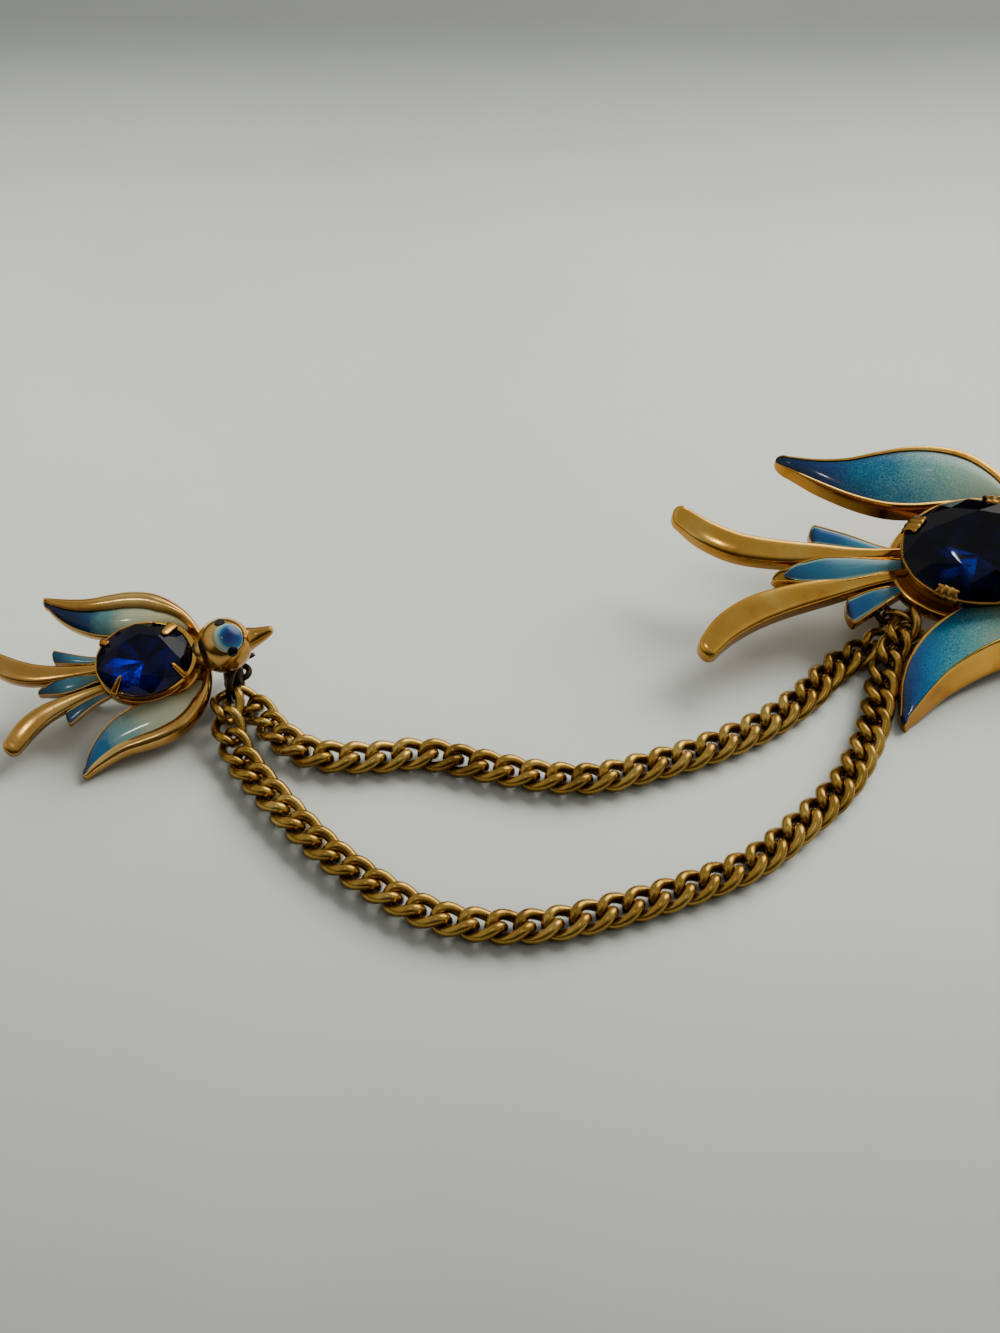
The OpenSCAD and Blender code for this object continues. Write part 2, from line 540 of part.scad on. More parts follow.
// A thin round patch on a ball at the origin, centred on a direction
module patch(ball_r, dir, patch_r, thick) {
    difference() {
        intersection() {
            sphere(ball_r + thick, $fn = 60);
            rotate([0, acos(dir[2] / norm(dir)), atan2(dir[1], dir[0])])
                cylinder(2 * ball_r, patch_r, patch_r, $fn = 60);
        }
        sphere(ball_r + 0.03, $fn = 60);
    }
}
module small_crown_enamel() {
    color("royalblue") stand_small() translate([small_head_x, 0, small_head_z])
        patch(small_head_r, crown_dir, crown_r * small_head_r, 0.1);
}
module large_crown_enamel() {
    color("royalblue") stand_large() translate(large_core + [large_head_x, 0, large_head_z])
        patch(large_head_r, crown_dir, crown_r * large_head_r, 0.15);
}
module small_eyes() {
    color("black") stand_small() translate([small_head_x, 0, small_head_z])
        for (side = [-1, 1]) patch(small_head_r, [eye_dir[0], side * eye_dir[1], eye_dir[2]],
            eye_r * small_head_r, 0.13);
}
module large_eyes() {
    color("black") stand_large() translate(large_core + [large_head_x, 0, large_head_z])
        for (side = [-1, 1]) patch(large_head_r, [eye_dir[0], side * eye_dir[1], eye_dir[2]],
            eye_r * large_head_r, 0.2);
}

// Round bar from one point to another
module rod(a, b, r) {
    d = b - a;
    translate(a) rotate([0, acos(d[2] / norm(d)), atan2(d[1], d[0])]) cylinder(norm(d), r, r, $fn = 32);
}

// Pin back in the bird's own frame: bar, hinge block with its barrel, stem and tube catch
module pin_back(pin) {
    bar_x0 = pin[0];
    bar_x1 = pin[1];
    bar_w = pin[2];
    bar_t = pin[3];
    hinge_z = pin[4];
    hinge_r = pin[5];
    catch_z = pin[6];
    stem_r = pin[7];
    tip_x = pin[8];
    hinge_x = bar_x0 + 1.3 * hinge_r;
    catch_x = bar_x1 - 0.8 * hinge_r;
    bore_r = stem_r + 0.2;
    rise = (catch_z - hinge_z) / (catch_x - hinge_x);
    difference() {
        union() {
            translate([bar_x0, -bar_w / 2, -gap - bar_t]) cube([bar_x1 - bar_x0, bar_w, bar_t]);
            translate([hinge_x - 0.7 * hinge_r, -bar_w / 2, hinge_z])
                cube([1.4 * hinge_r, bar_w, -hinge_z - gap - 0.5 * bar_t]);
            translate([hinge_x, -bar_w / 2, hinge_z]) rotate([-90, 0, 0])
                cylinder(bar_w, hinge_r, hinge_r, $fn = 32);
            translate([catch_x - 0.5 * hinge_r, -0.5 * bore_r, catch_z])
                cube([hinge_r, bore_r, -catch_z - gap - 0.5 * bar_t]);
            translate([catch_x - 0.5 * hinge_r, 0, catch_z]) rotate([0, 90, 0])
                cylinder(hinge_r, bore_r + 0.4, bore_r + 0.4, $fn = 32);
        }
        translate([catch_x - hinge_r, 0, catch_z]) rotate([0, 90, 0])
            cylinder(2 * hinge_r, bore_r, bore_r, $fn = 32);
    }
    stem_l = norm([tip_x - hinge_x, rise * (tip_x - hinge_x)]);
    translate([hinge_x, 0, hinge_z]) rotate([0, 90 - atan(rise), 0]) rotate_extrude($fn = 32) polygon([
        [0, 0], [stem_r, 0], [stem_r, stem_l - 5 * stem_r], [0.1 * stem_r, stem_l], [0, stem_l]]);
}

// Where the ring's wire is, at an angle about its centre
function ring_point(ring, turn, angle) = ring[0]
    + ring[1] * [cos(angle) * cos(turn), cos(angle) * sin(turn), sin(angle)];
// Eyelet that holds a jump ring, on an arm from the pin's bar
module eyelet(ring, turn, angle, root) {
    out = [ring[0], ring[1] + eyelet_r];
    translate(ring_point(ring, turn, angle)) rotate([0, -angle, turn]) rotate_extrude($fn = 48)
        translate([eyelet_r, 0]) circle(eyelet_wire / 2, $fn = 24);
    rod(ring_point(out, turn, angle), root, 0.4 * eyelet_wire);
}
module small_pin() {
    root = bird_point(SMALL_ARM, small_at, small_yaw, small_tilt, small_pitch);
    color("saddlebrown") union() {
        stand_small() pin_back(SMALL_PIN);
        translate(centring) eyelet(SMALL_RING, small_ring_turn, SMALL_HOLDS[2], root);
    }
}
module large_pin() {
    root = bird_point(LARGE_ARM, large_at, large_yaw, large_tilt, large_pitch);
    color("saddlebrown") union() {
        stand_large() pin_back(LARGE_PIN);
        translate(centring) eyelet(LARGE_RING, large_ring_turn, LARGE_HOLDS[2], root);
    }
}
module jump_ring(ring, turn) {
    translate(ring[0] + centring) rotate([90, 0, turn]) rotate_extrude($fn = 64)
        translate([ring[1], 0]) circle(ring_wire / 2, $fn = 24);
}
module small_chain_ring() { color("darkgoldenrod") jump_ring(SMALL_RING, small_ring_turn); }
module large_chain_ring() { color("darkgoldenrod") jump_ring(LARGE_RING, large_ring_turn); }

// Running length along smooth points: [length, x, y, z] rows
function run_table(p) = [for (i = 0, s = 0; i < len(p);
    s = s + (i + 1 < len(p) ? norm(p[i + 1] - p[i]) : 0), i = i + 1) [s, p[i][0], p[i][1], p[i][2]]];
function run_point(t, s) = [for (c = [1:3]) lookup(s, [for (r = t) [r[0], r[c]]])];

// Middle line of a twisted link about the chain's run, and one ring of its wire
function bow(v) = sign(v) * pow(abs(v), link_square);
function link_line(t) = let (f = link_turn * cos(t), x = bow(cos(t)), y = bow(sin(t)))
    [link_a * x, link_b * y * cos(f), link_b * y * sin(f)];
function link_ring(t) = let (
    c = link_line(t), d = link_line(t + 1) - link_line(t - 1), along = d / norm(d),
    o = c - along * (c * along), out = o / norm(o), up = cross(along, out))
    [for (k = [0:wire_sides - 1]) let (a = 360 * k / wire_sides)
        c + link_wire / 2 * (out * cos(a) + up * sin(a))];
LINK = [for (i = [0:link_steps - 1]) each link_ring(360 * i / link_steps)];

// Every link of a chain, placed along its run from ring to ring, as loose solids
module chain(route, roll) {
    t = run_table(smooth(route, 8));
    total = t[len(t) - 1][0];
    count = round((total - 2 * first_link) / link_pitch);
    step = (total - 2 * first_link) / count;
    m = link_steps * wire_sides;
    points = [for (i = [0:count]) let (
        s = first_link + i * step,
        p = run_point(t, s), q = run_point(t, min(s + 1, total)) - run_point(t, max(s - 1, 0)),
        x = q / norm(q), y0 = cross([0, 0, 1], x), y1 = y0 / norm(y0), z1 = cross(x, y1),
        f = lookup(s / total, roll), y = y1 * cos(f) + z1 * sin(f), z = z1 * cos(f) - y1 * sin(f))
        each [for (v = LINK) p + x * v[0] + y * v[1] + z * v[2]]];
    faces = [for (i = [0:count], j = [0:link_steps - 1], k = [0:wire_sides - 1]) let (
        o = i * m, j1 = (j + 1) % link_steps, k1 = (k + 1) % wire_sides)
        each [[o + j * wire_sides + k, o + j1 * wire_sides + k, o + j * wire_sides + k1],
        [o + j * wire_sides + k1, o + j1 * wire_sides + k, o + j1 * wire_sides + k1]]];
    translate(centring) polyhedron(points = points, faces = faces);
}
module upper_chain() {
    color("darkgoldenrod") chain(concat(
        [ring_point(SMALL_RING, small_ring_turn, SMALL_HOLDS[0])], UPPER_ROUTE,
        [ring_point(LARGE_RING, large_ring_turn, LARGE_HOLDS[0])]), UPPER_ROLL);
}
module lower_chain() {
    color("darkgoldenrod") chain(concat(
        [ring_point(SMALL_RING, small_ring_turn, SMALL_HOLDS[1])], LOWER_ROUTE,
        [ring_point(LARGE_RING, large_ring_turn, LARGE_HOLDS[1])]), LOWER_ROLL);
}

small_casting();
small_setting();
small_stone();
small_left_wing_enamel();
small_right_wing_enamel();
small_leaf_enamel();
small_left_feather_enamel();
small_right_feather_enamel();
small_crown_enamel();
small_eyes();
small_pin();
small_chain_ring();
large_casting();
large_setting();
large_stone();
large_left_wing_enamel();
large_right_wing_enamel();
large_leaf_enamel();
large_left_feather_enamel();
large_right_feather_enamel();
large_crown_enamel();
large_eyes();
large_pin();
large_chain_ring();
upper_chain();
lower_chain();
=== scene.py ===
"""Looks of the bird brooch: two enamelled birds with oval stones, joined by two curb chains.

Shapes are worked out in millimetres, in each bird's own frame or on the table. They are put in
place in metres.
"""
import math

import bmesh
import bpy
import numpy as np
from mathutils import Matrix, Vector


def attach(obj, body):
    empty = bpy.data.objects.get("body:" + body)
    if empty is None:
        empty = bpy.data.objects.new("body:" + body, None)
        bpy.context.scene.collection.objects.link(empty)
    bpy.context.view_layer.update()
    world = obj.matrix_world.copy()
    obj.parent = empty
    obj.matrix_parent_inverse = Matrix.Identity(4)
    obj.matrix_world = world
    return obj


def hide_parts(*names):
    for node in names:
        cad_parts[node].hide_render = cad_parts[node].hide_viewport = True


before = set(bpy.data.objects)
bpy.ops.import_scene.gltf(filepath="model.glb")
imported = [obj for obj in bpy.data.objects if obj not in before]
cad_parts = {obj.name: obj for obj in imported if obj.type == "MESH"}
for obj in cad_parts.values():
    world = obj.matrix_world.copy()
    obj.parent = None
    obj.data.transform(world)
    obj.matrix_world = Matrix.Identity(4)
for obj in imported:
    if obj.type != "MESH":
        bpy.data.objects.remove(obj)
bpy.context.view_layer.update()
BODY = "root"
MM = 0.001

# Birds on the table: place of the bird's own origin, yaw, tilt onto the near wing, lift of the head
CENTRING = np.array([-11.6, 7.05, 0.0])
SMALL_STAND = ([-38.1, -5.0, 4.6], 17, 24, 2)
LARGE_STAND = ([53.2, 10.8, 5.35], 8.5, 17, -2)
# The large bird's middle line lies off the wings' own
LARGE_CORE = np.array([-0.4, -0.8, 0.0])

# Wing tables, root to tip: leading x, y, trailing x, y, height, width of the gold edge
SMALL_WING = [
    [6.9, 1.5, 5.7, 1.2, 1.5, 1.0],
    [6.6, 3.1, 5.0, 2.4, 1.6, 1.4],
    [5.8, 5.1, 4.0, 3.3, 1.8, 1.6],
    [4.3, 7.0, 2.6, 3.7, 1.9, 1.7],
    [2.5, 8.3, 0.9, 3.7, 2.0, 1.8],
    [0.2, 9.0, -1.2, 3.8, 2.0, 1.8],
    [-2.0, 9.2, -3.2, 4.3, 1.9, 1.7],
    [-4.0, 9.3, -5.0, 5.1, 1.8, 1.5],
    [-5.8, 9.7, -6.7, 6.4, 1.6, 1.3],
    [-7.4, 10.2, -7.9, 7.9, 1.4, 1.0],
    [-8.5, 10.6, -8.6, 9.2, 1.1, 0.8]]
SMALL_WING_TIP = [-8.95, 10.1, 0.5]
LARGE_FAR_WING = [
    [8.5, 3.6, 7.0, 3.0, 2.2, 1.0],
    [7.7, 6.4, 5.9, 4.9, 2.4, 1.3],
    [6.4, 9.0, 4.3, 6.0, 2.5, 1.5],
    [4.6, 11.5, 2.4, 6.6, 2.7, 1.5],
    [2.0, 13.6, 0.2, 6.9, 2.8, 1.4],
    [-1.5, 14.6, -2.6, 6.9, 2.9, 1.1],
    [-5.2, 14.7, -5.6, 6.9, 2.9, 0.8],
    [-8.7, 14.3, -8.8, 7.4, 2.8, 0.6],
    [-12.2, 13.9, -12.2, 8.8, 2.6, 0.5],
    [-15.6, 14.2, -15.7, 11.0, 2.3, 0.4],
    [-18.6, 15.1, -18.8, 13.4, 1.8, 0.3]]
LARGE_FAR_TIP = [-20.0, 15.0, 0.9]
LARGE_NEAR_WING = [
    [8.5, 3.8, 7.0, 3.2, 2.2, 1.6],
    [8.4, 6.4, 6.2, 4.2, 2.4, 2.1],
    [7.4, 8.9, 4.8, 4.9, 2.5, 2.4],
    [5.4, 11.1, 3.0, 5.0, 2.7, 2.6],
    [2.4, 12.7, 0.8, 5.0, 2.8, 2.6],
    [-0.6, 13.6, -1.8, 5.5, 2.9, 2.5],
    [-3.6, 14.7, -4.8, 6.9, 2.9, 2.3],
    [-6.4, 16.0, -7.8, 8.9, 2.8, 2.0],
    [-8.8, 17.5, -10.2, 11.4, 2.6, 1.6],
    [-10.7, 18.8, -11.8, 14.3, 2.2, 1.2],
    [-11.9, 19.5, -12.6, 17.3, 1.7, 0.8]]
LARGE_NEAR_TIP = [-12.7, 19.4, 0.7]
# Outer wall of a wing's gold edge: part of the band's width, part of its height
SMALL_EDGE = [[0.1, 0], [0, 0.4], [0.18, 0.8], [0.5, 1], [0.82, 0.94]]
LARGE_EDGE = [[0, 0], [0.06, 0.16], [0.5, 0.62], [0.86, 1], [0.94, 1]]
LARGE_FAR_EDGE = [[0, 0], [0.04, 0.5], [0.16, 0.86], [0.4, 1], [0.94, 1]]
# How much wider the gold edge of the small far wing is
FAR_EDGE_WIDER = 1.22
# Back of a wing: rim, foot outside the rim, enamel level, rim level, recess
SMALL_BAND = [0.25, 0, 0.8, 0.62, 0.3]
LARGE_FAR_BAND = [0.4, 0.6, 0.96, 0.78, 0.25]
LARGE_NEAR_BAND = [0.4, 0, 0.96, 0.78, 0.25]

# Tail plume tables, root to tip: inner x, y, outer x, y, height
SMALL_FAR_PLUME = [
    [-3.5, 0.5, -3.5, 1.4, 1.3],
    [-6.6, 0.55, -6.4, 1.85, 1.4],
    [-9.2, 0.65, -8.8, 2.4, 1.45],
    [-11.7, 0.95, -11.0, 3.15, 1.45],
    [-13.8, 1.8, -12.7, 4.05, 1.4],
    [-15.3, 3.0, -14.0, 5.0, 1.3],
    [-16.1, 4.1, -14.9, 5.7, 1.1]]
SMALL_NEAR_PLUME = [
    [-3.5, 0.7, -3.5, 1.5, 1.2],
    [-6.5, 0.9, -6.3, 2.0, 1.3],
    [-9.0, 1.1, -8.7, 2.6, 1.3],
    [-11.4, 1.45, -10.9, 3.35, 1.3],
    [-13.4, 2.2, -12.5, 4.25, 1.3],
    [-15.0, 3.3, -13.8, 5.2, 1.2],
    [-15.9, 4.2, -14.7, 5.9, 1.05]]
SMALL_PLUME_TIP = [-16.1, 5.6, 0.4]
LARGE_NEAR_PLUME = [
    [-7.0, 0.9, -7.0, 1.9, 2.0],
    [-13.0, 0.9, -12.7, 2.7, 2.1],
    [-18.0, 1.2, -17.5, 3.8, 2.2],
    [-23.1, 1.8, -22.1, 4.85, 2.2],
    [-27.3, 2.9, -25.9, 6.05, 2.2],
    [-30.7, 4.8, -29.1, 7.6, 2.1],
    [-32.7, 6.9, -31.2, 9.1, 1.8]]
LARGE_NEAR_PLUME_TIP = [-32.9, 9.0, 0.9]
LARGE_FAR_PLUME = [
    [-7.0, 0.6, -7.0, 1.7, 2.0],
    [-13.1, 0.55, -12.8, 2.2, 2.1],
    [-18.2, 0.85, -17.7, 3.2, 2.2],
    [-23.3, 1.45, -22.4, 4.2, 2.2],
    [-27.6, 2.7, -26.3, 5.5, 2.1],
    [-30.9, 4.95, -29.5, 7.6, 1.9],
    [-32.7, 7.2, -31.4, 9.45, 1.5]]
LARGE_FAR_PLUME_TIP = [-33.0, 9.3, 0.7]
# Cross-section of a plume: part of its width from the inner edge, part of its height
PLUME_PROFILE = [[0, 0], [0, 0.72], [0.12, 0.98], [0.5, 1], [0.84, 0.9], [0.98, 0.74], [1, 0.6],
                 [1, 0]]
FAR_PROFILE = [[0, 0], [0, 0.5], [0.05, 0.72], [0.2, 0.86], [0.5, 0.98], [0.86, 1], [1, 0.8],
               [1, 0]]

# Middle tail leaf, root to tip: x, half width, height
SMALL_LEAF = [[-3.5, 0.35, 1.1], [-5.5, 0.5, 1.2], [-7.0, 0.8, 1.3], [-8.5, 0.95, 1.3],
              [-9.8, 0.8, 1.2], [-10.8, 0.5, 1.0]]
SMALL_LEAF_TIP = [-11.6, 0, 0.5]
LARGE_LEAF = [[-7.0, 0.7, 2.0], [-10.5, 1.0, 2.1], [-14.0, 1.5, 2.2], [-17.0, 1.75, 2.2],
              [-19.5, 1.4, 2.1], [-21.5, 0.85, 1.7]]
LARGE_LEAF_TIP = [-23.0, 0, 0.8]

# Short flared tail feathers, root to end: inner x, y, outer x, y, height
SMALL_FEATHER = [[-3.6, 1.5, -3.6, 2.1, 1.0], [-5.6, 1.75, -5.6, 2.7, 1.0],
                 [-7.4, 2.2, -7.4, 3.5, 1.0], [-8.9, 2.7, -8.9, 4.3, 0.9]]
LARGE_FAR_FEATHER = [[-7.0, 0.7, -7.0, 1.4, 1.7], [-10.5, 1.3, -10.3, 2.4, 1.7],
                     [-14.0, 2.2, -13.8, 4.2, 1.7], [-17.6, 3.2, -17.3, 5.9, 1.5]]
LARGE_NEAR_FEATHER = [[-6.6, 2.2, -6.6, 2.9, 1.7], [-9.6, 2.6, -9.3, 3.8, 1.7],
                      [-12.6, 2.9, -12.4, 5.4, 1.7], [-15.4, 3.7, -15.4, 7.0, 1.5]]
# Rims of the leaf and feather trays
SMALL_RIM, LARGE_RIM = 0.15, 0.28
# Rows from one table row to the next, and rows that round off an end
WING_STEPS, TAIL_STEPS, TIP_ROWS = 6, 5, 8
# Place values of the points that close a field of enamel at its two ends
END_MARKS = [(0, 0.5), (1, 0.5)]

# Seats: half length, half width, top, shift
SMALL_SEATS = ((5.1, 4.15, 1.4, (0, 0, 0)), (5.4, 4.2, 1.0, (0.8, 0, 0)))
LARGE_SEAT = (9.9, 7.3, 1.8, LARGE_CORE)
# Heads: x and z of the centre, radius, start of the neck, beak; the small one's place in y
SMALL_HEAD, LARGE_HEAD = (8.6, 2.7, 3.0, 5.3, 2.4), (15.3, 5.2, 5.1, 9.9, 4.3)
SMALL_HEAD_Y = -0.3
# Directions from a head's centre to its crown patch, far eye and near eye; parts of its radius
CROWN_DIR, CROWN_R = (0.17, -0.1, 0.98), 0.54
EYES, EYE_R = ((0.01, 0.55, 0.83), (0.2, -0.6, 0.77)), 0.2
# How far a crown's colours lean back, and the thickness of the eyes
CROWN_LEAN = -0.33
SMALL_EYE, LARGE_EYE = 0.16, 0.24

# Stones: half length, half width, girdle's height and thickness, crown, lower cone
SMALL_GEM = (5, 4.1, 3.2, 0.3, 1.4, 1.5)
LARGE_GEM = (9, 6.6, 4.4, 0.4, 2.1, 2.4)
# Part of a stone's half width that its crown slopes over
CROWN_RUN = 0.42
# Cups: foot, top, wall, swell towards the head, inset
SMALL_CUP = (1.45, 3.3, 0.14, 0.5, 0.25)
LARGE_CUP = (1.85, 4.6, 0.16, 0.1, 0.5)
# Claws: foot, top, distance of the wall; small ones: angle, side, width, reach, width of the tip
SMALL_CLAW, LARGE_CLAW = (1.6, 3.5, 0.3), (4.1, 4.75, 0.25)
SMALL_CLAWS = ((43, 1, 1.15, 1.5, 0.3), (137, 1, 0.7, 0.6, 0.7), (43, -1, 0.65, 1.4, 0.15),
               (137, -1, 0.7, 1.4, 0.15))
# Large claws: side, reach, angles; width, teeth, width of the tip
LARGE_CLAWS = ((-1, 0.6, (19, 70, 127)), (1, 1.0, (19, 70, 144)))
LARGE_CLAW_END = (2.7, 7, 0.9)

# Dark post under the small head, made wide and dark so that it also stands for painted shade there:
# top and foot of its middle line; part of its length, radius
POST_TOP, POST_FOOT = np.array([-28.85, -4.4, 4.6]), np.array([-28.8, -4.8, 0.7])
POST_ROWS = ((0, 0.9), (0.06, 1.06), (0.16, 1.12), (0.42, 1.12), (0.47, 0.98), (0.52, 0.98),
             (0.57, 1.14), (0.9, 1.14), (0.97, 1.06), (1.0, 0.9))
# Tip of the pin's stem: x, y, z, radius; the points that close it
NEEDLE_ROWS = ((-28.6, -2.05, 3.2, 0.32), (-27.6, -1.66, 3.2, 0.3), (-27.0, -1.44, 3.2, 0.2))
NEEDLE_ENDS = (-28.7, -2.1, 3.2), (-26.7, -1.32, 3.2)

# Jump rings on the table: centre, radius of the wire's middle line, turn; where links hang on them
SMALL_RING = ([-28.66, -5.55, 2.97], 1.84, 75.8)
LARGE_RING = ([44.4, 3.58, 2.54], 2.16, 144.8)
SMALL_HOLDS = (246.2, 190.1)
LARGE_HOLDS = (189.7, 114.9)
UPPER_ROUTE = [[-26.43, -7.45, 1.16], [-23.4, -11.6, 1.18], [-19.5, -14.2, 1.18],
               [-14, -14.7, 1.18], [-8, -14.2, 1.18], [-2.5, -15.6, 1.18], [4, -17.2, 1.18],
               [10, -17.5, 1.18], [16.5, -15.6, 1.18], [22.5, -13.2, 1.18], [28.5, -9.8, 1.18],
               [33.2, -5.8, 1.18], [37, -1.4, 1.18], [42.38, 2.17, 1.57]]
LOWER_ROUTE = [[-29.22, -10.04, 2.39], [-27.4, -14.6, 1.18], [-23.4, -20.3, 1.18],
               [-18.4, -26.3, 1.18], [-13, -31.2, 1.18], [-7, -35.1, 1.18], [-1, -36.6, 1.18],
               [5, -36.4, 1.18], [12, -34.5, 1.18], [19, -31.9, 1.18], [25.5, -28.7, 1.18],
               [30.8, -23.9, 1.18], [35.6, -18.6, 1.18], [39, -12.4, 1.18], [41.1, -6.2, 1.18],
               [42.4, -1.68, 2.06]]
# Turn of the links about their run, in degrees, by part of the chain's length
UPPER_ROLL = [[0, 13], [0.047, 3], [0.13, 0], [0.3, 6], [0.5, -6], [0.72, 6], [0.87, 0],
              [0.953, 17.4], [1, 46]]
LOWER_ROLL = [[0, -29], [0.036, 11], [0.1, 0], [0.35, -6], [0.52, 7], [0.7, -6], [0.8, 6], [0.9, 0],
              [0.964, 9.3], [1, -13.8]]
# Sizes of the chain in the frame, and the wire as it shows
LINK_W, LINK_PITCH, CAD_WIRE, RING_WIRE, SLACK, RING_PLAY = 3.6, 2.75, 0.84, 0.66, 0.42, 0.16
SHOWN_WIRE, END_WIRE = 1.17, 1.0
LINK_A = (LINK_PITCH + CAD_WIRE + SLACK) / 2
LINK_B = (LINK_W - CAD_WIRE) / 2
FIRST_LINK = LINK_A - (RING_WIRE + CAD_WIRE) / 2 - RING_PLAY
# Twist of a link from end to end, in degrees, and the power that squares its round
LINK_TURN, LINK_SQUARE = -60, 0.85

# Painted shade on steep sides and undersides of plated metal
STEEP_PAINTED_SHADE = 0.7
# The camera: degrees down, metres away, degrees over the picture's long side
DOWN, AWAY, LONG_SIDE = 46, 0.222, 36.87
# Lights: place, aim, size, power, colour
WINDOW = ((0.52, 0.56, 0.54), (0, 0, 0), (0.75, 0.6), 14.5, (1.0, 0.985, 0.96))
LAMP = ((-0.08, -0.24, 0.9), (0, 0, 0), (0.04, 0.04), 0.2, (1.0, 0.98, 0.95))
SPARK = ((0.348, 0.234, 0.826), (0.05, 0.02, 0), (0.007, 0.007), 0.012, (1, 1, 1))
# The window's direction as the room shows it, and the room's strength
WINDOW_WAY, ROOM_LIGHT = (0.55, 0.59, 0.59), 0.9


def rgb(r, g, b):
    """A colour given as 0 to 255 values, in the linear values that shaders take."""
    return tuple(((c / 255 + 0.055) / 1.055) ** 2.4 if c > 10 else c / 255 / 12.92
                 for c in (r, g, b)) + (1.0,)


def grey(value):
    return (value, value, value, 1)


def scaled(colour, part):
    """A colour made lighter or darker."""
    return tuple(min(1, c * part) for c in colour[:3]) + (1,)


def turns(n):
    """n angles that go once round."""
    return np.arange(n) * 2 * math.pi / n


def unit(v):
    return v / np.linalg.norm(v)


def spline(rows, steps):
    """Smooth rows through the rows of a table, steps rows to each of its own."""
    r = np.array(rows, float)
    n = len(r) - 1
    out = []
    for i in range(n):
        a, b, c, d = r[max(i - 1, 0)], r[i], r[i + 1], r[min(i + 2, n)]
        for t in np.arange(steps) / steps:
            out.append(0.5 * (2 * b + (c - a) * t + (2 * a - 5 * b + 4 * c - d) * t * t
                              + (3 * b - a - 3 * c + d) * t ** 3))
    return np.array(out + [r[n]])


def stand(points, place):
    """Puts a bird's own points on the table."""
    at, yaw, tilt, pitch = place
    a, t, q = (math.radians(v) for v in (yaw, tilt, pitch))
    p = np.array(points, float)
    y1 = p[:, 1] * math.cos(t) - p[:, 2] * math.sin(t)
    z1 = p[:, 1] * math.sin(t) + p[:, 2] * math.cos(t)
    x2 = p[:, 0] * math.cos(q) - z1 * math.sin(q)
    z2 = p[:, 0] * math.sin(q) + z1 * math.cos(q)
    return np.stack([x2 * math.cos(a) - y1 * math.sin(a) + at[0],
                     x2 * math.sin(a) + y1 * math.cos(a) + at[1], z2 + at[2]], 1)


class Shape:
    """Points and faces of one piece, with a place value (along, across) for each point."""

    def __init__(self):
        self.points, self.faces, self.marks, self.slots = [], [], [], []
        self.count = 0

    def add(self, points, faces, marks=None, slots=None, mirror=False, shift=(0, 0, 0)):
        p = np.array(points, float) + np.array(shift, float)
        if mirror:
            p[:, 1] *= -1
            faces = [f[::-1] for f in faces]
        marks = np.zeros((len(p), 2)) if marks is None else np.array(marks, float)
        self.points.append(p)
        self.marks.append(marks)
        self.faces += [[i + self.count for i in f] for f in faces]
        self.slots += slots or [0] * len(faces)
        self.count += len(p)

    def piece(self, name, materials, nodes, place=None, sharp=38, smooth=True):
        """Makes the Blender piece that stands for the named CAD nodes."""
        p = np.concatenate(self.points)
        if place is not None:
            p = stand(p, place)
        p = (p + CENTRING) * MM
        mesh = bpy.data.meshes.new(name)
        mesh.from_pydata(p.tolist(), [], self.faces)
        work = bmesh.new()
        work.from_mesh(mesh)
        bmesh.ops.recalc_face_normals(work, faces=work.faces)
        work.to_mesh(mesh)
        work.free()
        mesh.update()
        values = mesh.attributes.new("mark", "FLOAT_VECTOR", "POINT")
        m = np.concatenate(self.marks)
        flat = np.column_stack([m, np.zeros(len(m))]).astype(np.float32)
        values.data.foreach_set("vector", flat.ravel())
        for look in materials:
            mesh.materials.append(look)
        mesh.polygons.foreach_set("material_index", self.slots)
        if smooth:
            mesh.shade_smooth()
            mesh.set_sharp_from_angle(angle=math.radians(sharp))
        obj = bpy.data.objects.new(name, mesh)
        bpy.context.scene.collection.objects.link(obj)
        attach(obj, BODY)
        if nodes:
            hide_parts(*nodes)


def loft(rings, start=None, end=None):
    """Faces over closed rings of equal length, with a fan to a point at each end."""
    n, m = len(rings), len(rings[0])
    points = np.concatenate([np.array(r, float) for r in rings])
    faces = [[i * m + j, i * m + (j + 1) % m, (i + 1) * m + (j + 1) % m, (i + 1) * m + j]
             for i in range(n - 1) for j in range(m)]
    for point, ring, order in ((start, 0, 1), (end, n - 1, -1)):
        if point is None:
            continue
        points = np.concatenate([points, [point]])
        tip = len(points) - 1
        faces += [[ring * m + (j + 1) % m, ring * m + j, tip][::order] for j in range(m)]
    return points, faces


def plan_ring(row, uz):
    """Points over the line from a row's first point to its second: distances u, heights z."""
    a, b = np.array(row[:2]), np.array(row[2:4])
    w = np.linalg.norm(b - a)
    return np.array([[*(a + (b - a) * u / w), z] for u, z in uz])


def tipped(rows, tip, fine, blunt=1.0):
    """Smooth rows through a table, and rows that round off its end at a tip."""
    out = list(spline(rows, fine))
    last = out[-1]
    a, b = last[:2], last[2:4]
    c, end = (a + b) / 2, np.array(tip[:2], float)
    for k in range(1, TIP_ROWS + 1):
        t = math.pi / 2 * k / (TIP_ROWS + 0.3)
        s = math.cos(t) ** blunt
        m = c + (end - c) * math.sin(t)
        height = tip[2] + (last[4] - tip[2]) * s
        out.append(np.array([*(m + (a - c) * s), *(m + (b - c) * s), height, *(last[5:] * s)]))
    return np.array(out)


def width(row):
    return math.hypot(row[2] - row[0], row[3] - row[1])


def material(name, **values):
    """A material with one Principled shader, whose constant inputs are set by name."""
    m = bpy.data.materials.new(name)
    m.use_nodes = True
    shader = m.node_tree.nodes["Principled BSDF"]
    for key, value in values.items():
        shader.inputs[key.replace("_", " ")].default_value = value
    return m, m.node_tree, shader


